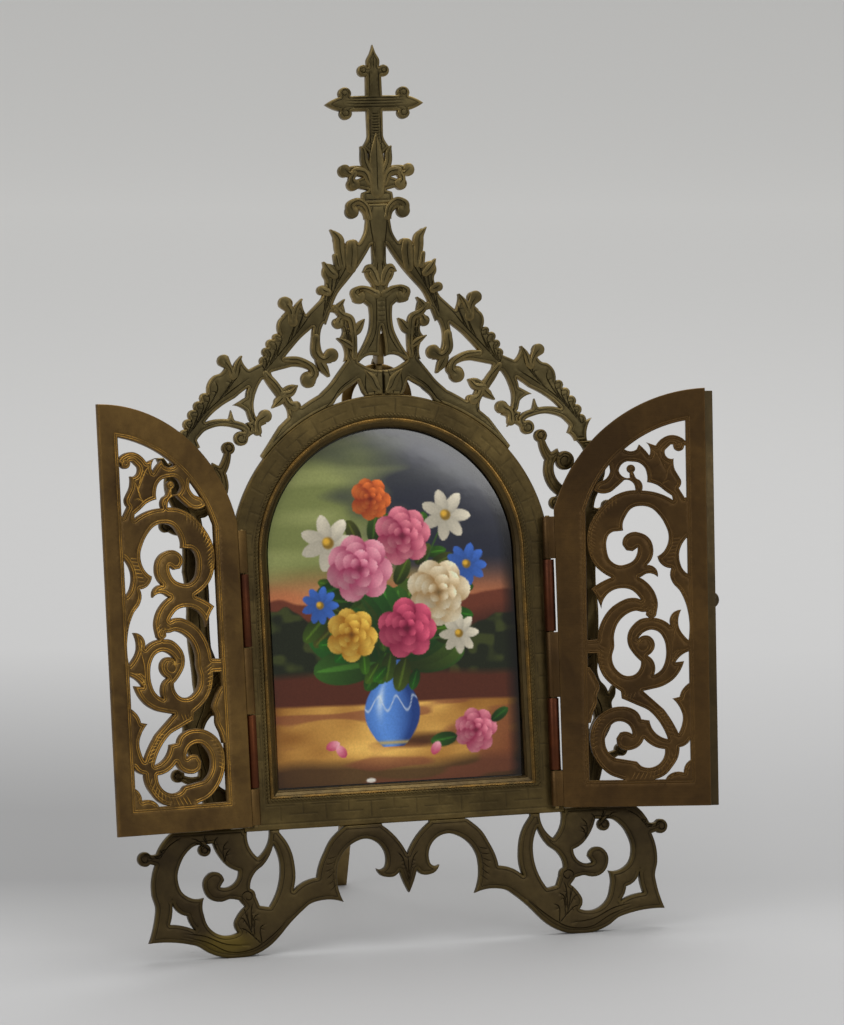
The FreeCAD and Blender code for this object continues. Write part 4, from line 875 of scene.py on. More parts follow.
def bright_foot_patch(points):
    """Brighter golden patch low on the left foot."""
    x, z = points[:, 0], points[:, 2]
    across = np.hypot((x + 57.5) / 8.5, (z + 11.5) / 3.6)
    return np.clip(1.5 - across, 0, 1) ** 1.5


# Rounded pieces

def lathe(profile, sides):
    """Points and faces of a closed profile of (radius, height) turned about the Y axis."""
    profile = np.asarray(profile, float)
    turn = 2 * math.pi * np.arange(sides) / sides
    radius, height = profile[:, :1], profile[:, 1:]
    height = np.broadcast_to(height, (len(profile), sides))
    points = np.stack([radius * np.cos(turn), height, radius * np.sin(turn)], 2).reshape(-1, 3)
    return points, strip_faces(len(profile), sides, profile[0, 0] > 1e-6)


def strip_faces(rows, sides, closed):
    """Triangles between rows of points that each go round, the last row back to the first if closed."""
    faces = []
    around = np.arange(sides)
    following = (around + 1) % sides
    for row in range(rows if closed else rows - 1):
        low = row * sides
        high = (row + 1) % rows * sides
        faces.append(np.column_stack([low + around, low + following, high + following]))
        faces.append(np.column_stack([low + around, high + following, high + around]))
    return np.vstack(faces)


def arch_path(half, sill, straight_count=70, arc_count=160):
    """Points round an arch, in the same number and order for every size."""
    across = np.linspace(0, 1, straight_count, endpoint=False)
    turn = np.linspace(0, math.pi, arc_count, endpoint=False)
    corner = [
        np.column_stack([-half + 2 * half * across, np.full(straight_count, sill)]),
        np.column_stack([np.full(straight_count, half), sill + (ARCH_CENTRE - sill) * across]),
        np.column_stack([half * np.cos(turn), ARCH_CENTRE + half * np.sin(turn)]),
        np.column_stack([np.full(straight_count, -half), ARCH_CENTRE + (sill - ARCH_CENTRE) * across]),
    ]
    return np.vstack(corner)


def arch_moulding(name, profile, angle=35.0):
    """A moulding swept round the arch from a closed profile of (margin, sill margin, y)."""
    rows = []
    for margin, sill_margin, y in profile:
        path = arch_path(PICTURE_HALF + margin, PICTURE_SILL - sill_margin)
        rows.append(np.column_stack([path[:, 0], np.full(len(path), y), path[:, 1]]))
    points = np.vstack(rows)
    faces = strip_faces(len(rows), len(rows[0]), True)
    margin, y = (np.repeat([row[side] for row in profile], len(rows[0])) for side in (0, 2))
    # rim marks the outer front edge for rubbed wear; cut marks the deep inner wall of the opening, painted near
    # black by the gilt finish as the shade in the recess.
    values = {"rim": ((margin > 2.0) & (y < 1)) * 1.0, "cut": ((margin < 0.02) & (y > 1.6)) * 1.0}
    placed, faces, values = weld(points, faces, values, PLATE)
    made = mesh_object(name, placed, faces, values, angle)
    outward(made)
    made.data.set_sharp_from_angle(angle=math.radians(angle))
    return made


def outward(made):
    """Turn every face of a closed mesh to the outside."""
    shape = bmesh.new()
    shape.from_mesh(made.data)
    bmesh.ops.recalc_face_normals(shape, faces=shape.faces)
    shape.to_mesh(made.data)
    shape.free()


def closed_piece(name, points, faces, matrix):
    """A placed object from the points and faces of a closed shape in millimetres."""
    placed, faces, _ = weld(points, faces, {}, matrix)
    made = mesh_object(name, placed, faces)
    outward(made)
    return made


def softened(node, name, width, segments):
    """A copy of a CAD node's solid with its edges rounded over."""
    mesh = frame["nodes"][node].data.copy()
    shape = bmesh.new()
    shape.from_mesh(mesh)
    bmesh.ops.remove_doubles(shape, verts=shape.verts, dist=2e-6)
    bmesh.ops.dissolve_limit(shape, angle_limit=math.radians(1.0), verts=shape.verts, edges=shape.edges)
    edges = [edge for edge in shape.edges
             if len(edge.link_faces) == 2 and edge.calc_face_angle(0) > math.radians(25)]
    bmesh.ops.bevel(shape, geom=edges, offset=width * MM, segments=segments, affect="EDGES", profile=0.5,
                    clamp_overlap=True)
    bmesh.ops.triangulate(shape, faces=shape.faces)
    shape.to_mesh(mesh)
    shape.free()
    mesh.name = name
    mesh.materials.clear()
    mesh.shade_smooth()
    mesh.set_sharp_from_angle(angle=math.radians(38))
    return scene_object(name, mesh)


def settle(made, body, node, finish):
    """Give a finished piece its material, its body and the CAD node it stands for."""
    made.data.materials.clear()
    made.data.materials.append(finishes()[finish])
    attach(made, body)
    if node:
        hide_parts(node)


def settle_soft(node, name, width, body, finish, segments=2):
    """Finish a copy of a CAD node's solid with its edges rounded over."""
    settle(softened(node, name, width, segments), body, node, finish)


# Node trees

class Net:
    """A node tree's way to add nodes and links, with the nodes that the finishes share."""

    def __init__(self, tree):
        self.new = tree.nodes.new
        self.link = tree.links.new

    def fill(self, socket, value):
        """Link a socket to another one, or give it a plain value."""
        if isinstance(value, bpy.types.NodeSocket):
            self.link(value, socket)
        elif isinstance(value, tuple):
            socket.default_value = (*value, 1.0)
        else:
            socket.default_value = value

    def noise(self, where, scale, detail=3.0, roughness=0.55, distortion=0.0):
        made = self.new("ShaderNodeTexNoise")
        made.inputs["Scale"].default_value = scale
        made.inputs["Detail"].default_value = detail
        made.inputs["Roughness"].default_value = roughness
        made.inputs["Distortion"].default_value = distortion
        self.link(where, made.inputs["Vector"])
        return made.outputs["Fac"]

    def ranged(self, value, low, high, new_low=0.0, new_high=1.0):
        """A value taken from one range to another, and kept within it."""
        made = self.new("ShaderNodeMapRange")
        for socket, number in zip(("From Min", "From Max", "To Min", "To Max"), (low, high, new_low, new_high)):
            made.inputs[socket].default_value = number
        self.link(value, made.inputs["Value"])
        return made.outputs["Result"]

    def mixed(self, share, one, two):
        """Mix of two colours, each a socket or a plain colour."""
        made = self.new("ShaderNodeMix")
        made.data_type = "RGBA"
        for socket, value in zip((made.inputs[0], made.inputs[6], made.inputs[7]), (share, one, two)):
            self.fill(socket, value)
        return made.outputs[2]

    def times(self, one, two, operation="MULTIPLY"):
        made = self.new("ShaderNodeMath")
        made.operation = operation
        for socket, value in zip(made.inputs, (one, two)):
            self.fill(socket, value)
        return made.outputs[0]

    def attribute(self, name, output="Fac"):
        made = self.new("ShaderNodeAttribute")
        made.attribute_name = name
        return made.outputs[output]

    def bump(self, height, strength, distance, socket):
        """Fine relief from a height, led to a socket for normals."""
        made = self.new("ShaderNodeBump")
        made.inputs["Strength"].default_value = strength
        made.inputs["Distance"].default_value = distance
        self.link(height, made.inputs["Height"])
        self.link(made.outputs["Normal"], socket)


# Repeated ornament by Geometry Nodes

def new_tree(name, sockets):
    """An empty tree with a geometry in and out and the named inputs."""
    tree = bpy.data.node_groups.new(name, "GeometryNodeTree")
    tree.interface.new_socket(name="Geometry", in_out="INPUT", socket_type="NodeSocketGeometry")
    tree.interface.new_socket(name="Geometry", in_out="OUTPUT", socket_type="NodeSocketGeometry")
    for label, kind in sockets:
        tree.interface.new_socket(name=label, in_out="INPUT", socket_type=kind)
    net = Net(tree)
    return tree, net, net.new("NodeGroupInput"), net.new("NodeGroupOutput")


def finish_tree(net, start, end, geometry):
    """Join the last geometry through Realize Instances and Set Material to the output."""
    real = net.new("GeometryNodeRealizeInstances")
    paint = net.new("GeometryNodeSetMaterial")
    net.link(geometry, real.inputs[0])
    net.link(real.outputs[0], paint.inputs["Geometry"])
    net.link(start.outputs["Material"], paint.inputs["Material"])
    net.link(paint.outputs[0], end.inputs[0])


def along_tree():
    """Sets copies of a piece along a line, at a pitch, each turned with the line."""
    tree, net, start, end = new_tree("pieces_along_line", (
        ("Piece", "NodeSocketObject"), ("Pitch", "NodeSocketFloat"), ("Material", "NodeSocketMaterial")))
    line = net.new("GeometryNodeMeshToCurve")
    points = net.new("GeometryNodeCurveToPoints")
    points.mode = "LENGTH"
    turn = net.new("FunctionNodeAlignRotationToVector")
    turn.axis = "X"
    turn.pivot_axis = "Y"
    piece = net.new("GeometryNodeObjectInfo")
    copies = net.new("GeometryNodeInstanceOnPoints")
    net.link(start.outputs["Geometry"], line.inputs[0])
    net.link(line.outputs[0], points.inputs["Curve"])
    net.link(start.outputs["Pitch"], points.inputs["Length"])
    net.link(points.outputs["Tangent"], turn.inputs["Vector"])
    net.link(start.outputs["Piece"], piece.inputs["Object"])
    net.link(points.outputs["Points"], copies.inputs["Points"])
    net.link(piece.outputs["Geometry"], copies.inputs["Instance"])
    net.link(turn.outputs["Rotation"], copies.inputs["Rotation"])
    finish_tree(net, start, end, copies.outputs[0])
    return tree


def fasteners_tree():
    """Sets a fastener on each point, its slot turned at random from a fixed seed."""
    tree, net, start, end = new_tree("fasteners_on_points", (
        ("Piece", "NodeSocketObject"), ("Seed", "NodeSocketInt"), ("Material", "NodeSocketMaterial")))
    turn = net.new("FunctionNodeRandomValue")
    turn.data_type = "FLOAT_VECTOR"
    turn.inputs[0].default_value = (0.0, 0.0, 0.0)
    turn.inputs[1].default_value = (0.0, 2 * math.pi, 0.0)
    piece = net.new("GeometryNodeObjectInfo")
    copies = net.new("GeometryNodeInstanceOnPoints")
    net.link(start.outputs["Seed"], turn.inputs["Seed"])
    net.link(start.outputs["Geometry"], copies.inputs["Points"])
    net.link(start.outputs["Piece"], piece.inputs["Object"])
    net.link(piece.outputs["Geometry"], copies.inputs["Instance"])
    net.link(turn.outputs[0], copies.inputs["Rotation"])
    finish_tree(net, start, end, copies.outputs[0])
    return tree


def grown(name, points, edges, tree, inputs, matrix):
    """Run a tree on a plain mesh of points and edges, and return the result as a placed object."""
    seed = bpy.data.meshes.new(name + "_seed")
    seed.from_pydata([tuple(point) for point in points], edges, [])
    holder = scene_object(name + "_seed", seed)
    modifier = holder.modifiers.new(name, "NODES")
    modifier.node_group = tree
    for item in tree.interface.items_tree:
        if item.item_type == "SOCKET" and item.in_out == "INPUT" and item.name in inputs:
            modifier[item.identifier] = inputs[item.name]
    view = bpy.context.evaluated_depsgraph_get()
    mesh = bpy.data.meshes.new_from_object(holder.evaluated_get(view))
    holder.modifiers.clear()
    bpy.data.objects.remove(holder)
    if not mesh.polygons:
        raise RuntimeError(name + " came out empty")
    mesh.name = name
    mesh.transform(matrix)
    mesh.shade_smooth()
    mesh.set_sharp_from_angle(angle=math.radians(35))
    return scene_object(name, mesh)


def loose_piece(name, points, faces):
    """A piece for a tree to copy, in millimetres, kept out of the scene."""
    mesh = bpy.data.meshes.new(name)
    mesh.from_pydata(points.tolist(), [], faces.tolist())
    made = bpy.data.objects.new(name, mesh)
    outward(made)
    return made


def bead():
    """One strand of the twisted rope: a long bead lying askew, in a few dozen faces."""
    rings, sides = 5, 8
    reach, high, deep = 0.78, 0.34, 0.36
    points = [(-reach, 0, 0)]
    for ring in range(1, rings):
        turn = math.pi * ring / rings
        for side in range(sides):
            around = 2 * math.pi * side / sides
            points.append((-reach * math.cos(turn), high * math.sin(turn) * math.cos(around),
                           deep * math.sin(turn) * math.sin(around)))
    points.append((reach, 0, 0))
    faces = []
    for side in range(sides):
        after = (side + 1) % sides
        faces.append((0, 1 + side, 1 + after))
        last = 1 + (rings - 2) * sides
        faces.append((last + side, len(points) - 1, last + after))
        for ring in range(rings - 2):
            low = 1 + ring * sides
            faces.append((low + side, low + sides + side, low + sides + after))
            faces.append((low + side, low + sides + after, low + after))
    skew = np.array(Matrix.Rotation(math.radians(38), 3, "Y"))
    return loose_piece("rope_bead", np.array(points) @ skew.T, np.array(faces))


def screw_head(radius, height, slot):
    """Domed head, with a slot across it if asked for, that stands on the plane Y = 0 towards +Y."""
    profile = [(0, -0.3), (radius, -0.3), (radius, 0.25 * height), (0.92 * radius, 0.55 * height),
               (0.72 * radius, 0.82 * height), (0.4 * radius, 0.96 * height), (0.0, height)]
    sides = 24
    points, faces = lathe(profile, sides)
    if slot:
        in_slot = (abs(points[:, 2]) < 0.19 * radius) & (points[:, 1] > 0.5 * height)
        points[in_slot, 1] -= 0.45 * height
    keys, merged = np.unique(np.round(points, 4), axis=0, return_inverse=True)
    return loose_piece("screw_head", keys, real_faces(merged.ravel()[faces]))


# Materials

def material(name):
    """An empty material with its net, its shader and the place on the piece."""
    made = bpy.data.materials.new(name)
    made.use_nodes = True
    net = Net(made.node_tree)
    return made, net, made.node_tree.nodes["Principled BSDF"], net.new("ShaderNodeTexCoord").outputs["Object"]


def linear(colour):
    """Linear light of a colour given as a screen shows it."""
    colour = np.asarray(colour, float)
    return np.where(colour <= 0.04045, colour / 12.92, ((colour + 0.055) / 1.055) ** 2.4)


def brass(name, dark, light, worn, cut, rough, brushed=False, edge=0.5):
    """Patinated brass: clouded colour, rubbed edges that on the crest are also painted highlight, engraved
    lines of another tone, fine scratches.
    """
    made, net, shader, place = material(name)
    clouds = net.ranged(net.noise(place, 38, 4, 0.6, 0.6), 0.35, 0.68)
    mottle = net.ranged(net.noise(place, 420, 3, 0.6), 0.3, 0.75)
    specks = net.ranged(net.noise(place, 2600, 2, 0.5), 0.62, 0.74)
    dark, light, worn, cut = (linear(colour) for colour in (dark, light, worn, cut))
    colour = net.mixed(clouds, tuple(dark), tuple(light))
    colour = net.mixed(net.times(mottle, 0.35), colour, tuple(dark * 0.75))
    # Rubbed edges: wear, and on the crest, with its larger edge share, also painted highlight.
    patches = net.ranged(net.noise(place, 160, 3), 0.3, 0.62)
    wear_and_sheen = net.times(net.attribute("rim"), patches)
    colour = net.mixed(net.times(wear_and_sheen, edge), colour, tuple(worn))
    # The brighter patch low on the left foot.
    colour = net.mixed(net.times(net.attribute("worn"), 0.85), colour, tuple(worn))
    colour = net.mixed(net.times(specks, 0.25), colour, tuple(dark * 0.4))
    uneven = net.ranged(net.noise(place, 130, 3, 0.6), 0.36, 0.60, 0.2, 1.0)
    colour = net.mixed(net.times(net.attribute("cut"), uneven), colour, tuple(cut))
    net.link(colour, shader.inputs["Base Color"])
    rough_noise = net.noise(place, 700, 4, 0.6)
    spread_rough = net.ranged(rough_noise, 0.25, 0.75, rough - 0.08, rough + 0.1)
    rubbed_rough = net.times(net.attribute("rim"), 0.1)
    net.link(net.times(spread_rough, rubbed_rough, "SUBTRACT"), shader.inputs["Roughness"])
    shader.inputs["Metallic"].default_value = 0.8
    stretch = net.new("ShaderNodeMapping")
    stretch.inputs["Scale"].default_value = (60.0, 60.0, 2600.0) if brushed else (900.0, 900.0, 900.0)
    net.link(place, stretch.inputs["Vector"])
    scratches = net.noise(stretch.outputs["Vector"], 1.0, 3, 0.7)
    height = net.times(scratches, net.times(rough_noise, 0.8), "ADD")
    net.bump(height, 0.28, 0.12 * MM, shader.inputs["Normal"])
    return made


def porcelain():
    made, net, shader, place = material("glazed_painting")
    brush = net.ranged(net.noise(place, 1500, 3, 0.6), 0.3, 0.7)
    painted = net.attribute("picture", "Color")
    colour = net.mixed(net.times(brush, 0.16), painted, (0.0, 0.0, 0.0))
    net.link(colour, shader.inputs["Base Color"])
    net.link(net.ranged(brush, 0.0, 1.0, 0.3, 0.42), shader.inputs["Roughness"])
    shader.inputs["Specular IOR Level"].default_value = 0.0
    shader.inputs["Coat Weight"].default_value = 1.0
    shader.inputs["Coat Roughness"].default_value = 0.08
    net.bump(net.noise(place, 220, 2, 0.5), 0.07, 0.1 * MM, shader.inputs["Coat Normal"])
    return made


def card():
    made, net, shader, place = material("grey_card")
    fibre = net.noise(place, 1900, 4, 0.7)
    colour = net.mixed(fibre, tuple(linear((0.50, 0.44, 0.36))), tuple(linear((0.66, 0.60, 0.50))))
    net.link(colour, shader.inputs["Base Color"])
    shader.inputs["Roughness"].default_value = 0.85
    net.bump(fibre, 0.3, 0.1 * MM, shader.inputs["Normal"])
    return made


def backdrop(near, far, end):
    """Seamless pale paper with painted light: darker near the altar, paler far off, a painted soft shadow
    beside and behind it.
    """
    made, net, shader, place = material("studio_floor")
    turned = net.new("ShaderNodeMapping")
    turned.inputs["Rotation"].default_value[2] = math.radians(16)
    net.link(place, turned.inputs["Vector"])
    parts = net.new("ShaderNodeSeparateXYZ")
    net.link(turned.outputs["Vector"], parts.inputs[0])
    across, depth = parts.outputs["X"], parts.outputs["Y"]
    grain = net.noise(place, 90, 4, 0.6)
    # Painted soft shadow of the altar: a darker band of floor beside and behind it, stronger towards the left.
    stretch = net.times(net.ranged(depth, -0.04, 0.05), net.ranged(depth, 0.45, 0.15))
    share = net.times(stretch, net.ranged(across, 0.13, -0.10, 0.13, 0.40))
    # Painted light: the floor darker near the altar, paler from 0.2 m to 2.4 m behind it, a little dimmer again
    # out to 6.5 m.
    colour = net.mixed(net.ranged(depth, 0.2, 2.4), near, far)
    colour = net.mixed(net.ranged(depth, 2.4, 6.5), colour, end)
    colour = net.mixed(share, colour, (0.0, 0.0, 0.0))
    colour = net.mixed(net.times(grain, 0.05), colour, (0.3, 0.3, 0.32))
    net.link(colour, shader.inputs["Base Color"])
    shader.inputs["Roughness"].default_value = 0.62
    shader.inputs["Specular IOR Level"].default_value = 0.25
    return made


# The painted plaque

class Painting:
    """Colours laid on the plaque's points, one soft shape over another, as a screen shows them."""

    def __init__(self, x, z):
        self.x = x
        self.z = z
        self.colour = np.zeros((len(x), 3))
        self.random = np.random.default_rng(11)

    def lay(self, share, colour):
        self.colour += (np.asarray(colour, float) - self.colour) * np.clip(share, 0, 1)[:, None]

    def haze(self, scale_x, scale_z, seed):
        """Smooth random field between 0 and 1."""
        lattice = np.random.default_rng(seed).random((64, 64))
        u = (self.x + 60) / scale_x
        v = self.z / scale_z
        i, j = np.floor(u).astype(int), np.floor(v).astype(int)
        s, t = u - i, v - j
        s, t = s * s * (3 - 2 * s), t * t * (3 - 2 * t)
        i, j = i % 63, j % 63
        low = lattice[i, j] * (1 - s) + lattice[i + 1, j] * s
        high = lattice[i, j + 1] * (1 - s) + lattice[i + 1, j + 1] * s
        return low * (1 - t) + high * t

    def petal(self, x, z, long, wide, turn, root, tip, soft=0.35, strength=1.0):
        """One petal or leaf from its root, shaded from the root's colour to the tip's."""
        near = np.nonzero((abs(self.x - x) < long + wide) & (abs(self.z - z) < long + wide))[0]
        dx, dz = self.x[near] - x, self.z[near] - z
        along = (dx * math.cos(turn) + dz * math.sin(turn)) / long
        aside = (-dx * math.sin(turn) + dz * math.cos(turn)) / wide
        shape = np.where((along > 0) & (along < 1), np.sqrt(np.clip(along * (1 - along), 0, 1)) * 2, 0)
        edge = shape - abs(aside)
        share = np.clip(edge * wide / soft, 0, 1) * strength
        tone = np.clip(along * 1.1 - 0.25 * abs(aside) + 0.12 * aside, 0, 1)[:, None]
        colour = np.asarray(root) * (1 - tone) + np.asarray(tip) * tone
        self.colour[near] += (colour - self.colour[near]) * share[:, None]

    def blob(self, x, z, rx, rz, colour, soft=0.4, strength=1.0):
        out = np.hypot((self.x - x) / rx, (self.z - z) / rz)
        self.lay(np.clip((1 - out) / soft, 0, 1) * strength, colour)

    def rose(self, x, z, size, deep, pale):
        deep, pale = np.asarray(deep), np.asarray(pale)
        rings = ((0.42, 7, 0.72), (0.26, 6, 0.6), (0.12, 5, 0.46), (0.02, 4, 0.3))
        for ring, (out, count, long) in enumerate(rings):
            for index in range(count):
                turn = 2 * math.pi * (index + 0.5 * (ring % 2)) / count + self.random.uniform(-0.2, 0.2)
                root = (x + out * size * 0.5 * math.cos(turn), z + out * size * 0.5 * math.sin(turn))
                shade = 0.86 + 0.14 * math.sin(turn + 0.9) + self.random.uniform(-0.05, 0.05)
                self.petal(*root, long * size, 0.42 * long * size * 1.25, turn, deep * 0.8, pale * shade, 0.3)
        self.blob(x, z, 0.16 * size, 0.14 * size, deep * 0.6, 0.8, 0.8)

    def daisy(self, x, z, size, petals, colour, middle):
        colour = np.asarray(colour)
        for index in range(petals):
            turn = 2 * math.pi * index / petals + self.random.uniform(-0.1, 0.1)
            shade = 0.88 + 0.12 * math.sin(turn + 1.0)
            self.petal(x, z, size, 0.26 * size, turn, colour * 0.72, colour * shade, 0.25)
        self.blob(x, z, 0.24 * size, 0.24 * size, np.asarray(middle) * 0.6, 0.3)
        self.blob(x - 0.06 * size, z + 0.06 * size, 0.17 * size, 0.17 * size, middle, 0.6)

    def leaf(self, x, z, long, turn, green):
        green = np.asarray(green)
        self.petal(x, z, long, 0.27 * long, turn, green * 0.55, green, 0.3)
        self.petal(x, z, long * 0.96, 0.05 * long, turn, green * 1.1, green * 1.55, 0.25, 0.7)


def still_life(x, z):
    """Flowers in a blue vase on a stone ledge, before a landscape at dusk."""
    art = Painting(x, z)
    ember = np.array((0.66, 0.42, 0.28))
    olive = np.array((0.47, 0.50, 0.28))
    slate = np.array((0.15, 0.16, 0.21))
    drift = 0.6 * art.haze(26, 9, 3) + 0.4 * art.haze(11, 4, 4)
    storm = np.clip((x + 2 + 52 * (drift - 0.45) + 0.25 * (z - 110)) / 24 + 0.5, 0, 1)
    high = olive + (slate - olive) * storm[:, None]
    art.colour = ember + (high - ember) * np.clip((z - 86) / 14, 0, 1)[:, None]
    art.lay(np.clip((art.haze(19, 6, 5) - 0.5) * 2, 0, 0.6) * (1 - 0.85 * storm), (0.62, 0.64, 0.40))
    art.lay(np.exp(-((z - 89) / 5.0) ** 2) * (0.9 - 0.35 * storm), (0.76, 0.45, 0.29))
    art.lay(np.exp(-((z - 86.5) / 1.6) ** 2) * 0.6, (0.90, 0.60, 0.38))
    hills = 84 + 5.0 * art.haze(22, 999, 6) + 1.2 * art.haze(5, 999, 7) + 0.05 * abs(x)
    art.lay(np.clip((hills - z) / 0.8, 0, 1), (0.42, 0.21, 0.14))
    art.lay(np.clip((hills - 4 - z) / 6, 0, 0.9), (0.25, 0.13, 0.09))
    trees = 78 + 9 * art.haze(9, 999, 8) * np.clip((abs(x - 6) - 16) / 10, 0, 1) + 1.5 * art.haze(2.4, 999, 9)
    art.lay(np.clip((trees - z) / 0.7, 0, 1), (0.12, 0.14, 0.08))
    lit_leaves = np.clip((art.haze(3, 3, 10) - 0.5) * 3, 0, 0.7)
    art.lay(np.clip((trees - z) / 0.7, 0, 1) * lit_leaves, (0.29, 0.32, 0.14))
    art.lay(np.clip((66 + 3 * art.haze(18, 999, 12) - z) / 2.5, 0, 1), (0.33, 0.16, 0.10))
    tone = np.clip(1 - abs(x + 4) / 46 + 0.5 * (art.haze(9, 4, 14) - 0.5), 0, 1)[:, None]
    stone = np.array((0.48, 0.28, 0.09)) * (1 - tone) + np.array((0.94, 0.74, 0.38)) * tone
    share = np.clip((57 + 1.2 * art.haze(16, 999, 13) - z) / 0.9, 0, 1)
    art.colour += (stone - art.colour) * share[:, None]
    art.lay(np.clip((39 + 3 * art.haze(14, 999, 15) - z) / 3.5, 0, 1) * 0.8, (0.22, 0.14, 0.07))
    art.lay(np.clip((art.haze(13, 3, 16) - 0.62) * 4, 0, 0.6) * share, (0.48, 0.25, 0.18))
    art.blob(9, 45.6, 18, 2.8, (0.24, 0.13, 0.06), 0.7, 0.8)
    vase(art, -2.0)
    bouquet(art)
    art.rose(24, 47.5, 7.4, (0.70, 0.18, 0.34), (0.96, 0.58, 0.64))
    art.leaf(18, 46, 8.5, math.pi + 0.15, (0.18, 0.36, 0.12))
    art.leaf(29, 50, 6.6, 0.6, (0.16, 0.33, 0.11))
    for petal_x, petal_z, turn in ((-23, 44.5, 0.3), (-17, 41.5, 2.2), (10, 41.0, 1.0)):
        art.petal(petal_x, petal_z, 4.4, 1.6, turn, (0.72, 0.26, 0.38), (0.97, 0.68, 0.72), 0.3)
    # Painted shade: a dark band inside the picture's sides and arch, stronger towards the right, for the shadow
    # of the rim.
    edge = PICTURE_HALF - np.where(z > ARCH_CENTRE, np.hypot(x, z - ARCH_CENTRE), abs(x))
    art.lay(np.clip(1 - edge / 4.5, 0, 1) * np.clip(0.45 + x / 60, 0, 1) * 0.9, (0.04, 0.035, 0.03))
    art.blob(-9.5, 34.2, 1.7, 0.8, (0.90, 0.88, 0.84), 0.3)
    return linear(np.clip(1.07 * art.colour, 0, 1))


def bouquet(art):
    """Leaves, stems and flowers standing in the vase."""
    foot_x, foot_z, grow = -2.0, 70.0, 1.16
    random = art.random
    for turn in np.linspace(0.15, math.pi - 0.15, 17):
        art.leaf(foot_x + 4 * math.cos(turn), foot_z - 1 + 3 * math.sin(turn), 19 + 6 * random.random(),
                 turn + random.uniform(-0.25, 0.25), (0.15 + 0.12 * random.random(), 0.36, 0.12))
    for _ in range(50):
        turn = random.uniform(0, 2 * math.pi)
        out = 4 + 16 * math.sqrt(random.random())
        art.leaf(foot_x + out * math.cos(turn), 87 + 1.15 * out * math.sin(turn), random.uniform(6, 11),
                 turn + random.uniform(-0.8, 0.8),
                 (0.10 + 0.18 * random.random(), 0.27 + 0.14 * random.random(), 0.09))

    def grown_to(x, z):
        return foot_x + grow * (x - foot_x), foot_z + grow * (z - foot_z)

    white, blue, heart = (0.94, 0.90, 0.80), (0.26, 0.45, 0.82), (0.88, 0.68, 0.22)
    for x, z, size, petals, tone in ((-17, 101, 7.5, 7, white), (15, 107, 6.8, 7, white),
                                     (20, 94, 5.6, 9, blue), (-20, 85, 5.0, 9, blue),
                                     (17, 76, 5.4, 8, white)):
        x, z = grown_to(x, z)
        run, rise = x - foot_x, z - foot_z - 4
        art.petal(foot_x, foot_z + 4, math.hypot(run, rise), 0.5, math.atan2(rise, run),
                  (0.10, 0.20, 0.08), (0.24, 0.38, 0.14), 0.3)
        art.daisy(x, z, grow * size, petals, tone, heart)
    for x, z, size, deep, pale in ((-5, 112, 6.0, (0.66, 0.20, 0.06), (0.94, 0.48, 0.20)),
                                   (3, 102, 8.4, (0.66, 0.16, 0.32), (0.96, 0.56, 0.62)),
                                   (-9, 94, 9.6, (0.74, 0.22, 0.40), (0.98, 0.66, 0.72)),
                                   (12, 87, 9.4, (0.76, 0.58, 0.34), (1.0, 0.94, 0.80)),
                                   (-12, 77, 7.6, (0.70, 0.42, 0.06), (0.98, 0.80, 0.34)),
                                   (3, 78, 8.6, (0.58, 0.10, 0.26), (0.92, 0.38, 0.50))):
        art.rose(*grown_to(x, z), grow * size, deep, pale)


def vase(art, middle):
    """Blue glazed vase, lit from the left."""
    share = np.clip((art.z - 44) / 26, 0, 1)
    lip = np.where(share > 0.8, (share - 0.8) * 14, 0)
    half = 3.2 + 5.6 * np.sin(np.clip(share * 1.25, 0, 1) * math.pi) ** 0.8 + lip
    across = (art.x - middle) / half
    inside = np.clip((1 - abs(across)) * half / 0.35, 0, 1) * ((art.z > 44) & (art.z < 70))
    light = np.clip(1 - (across + 0.35) ** 2 * 0.75, 0.12, 1)[:, None]
    blue = np.array((0.10, 0.20, 0.44)) * (1 - light) + np.array((0.36, 0.56, 0.86)) * light
    art.colour += (blue - art.colour) * inside[:, None]
    for z in (45.2, 67.6):
        band = np.exp(-((art.z - z) / 0.55) ** 2) * inside
        art.lay(band * 0.8, (0.80, 0.66, 0.34))
    wave = np.exp(-((art.z - 57 - 2.2 * np.sin(across * 9)) / 0.45) ** 2) * inside
    art.lay(wave * 0.7, (0.86, 0.88, 0.90))
    gleam = np.exp(-((across + 0.45) / 0.13) ** 2 - ((art.z - 58) / 4.5) ** 2)
    art.lay(gleam * inside * 0.75, (0.90, 0.95, 1.0))


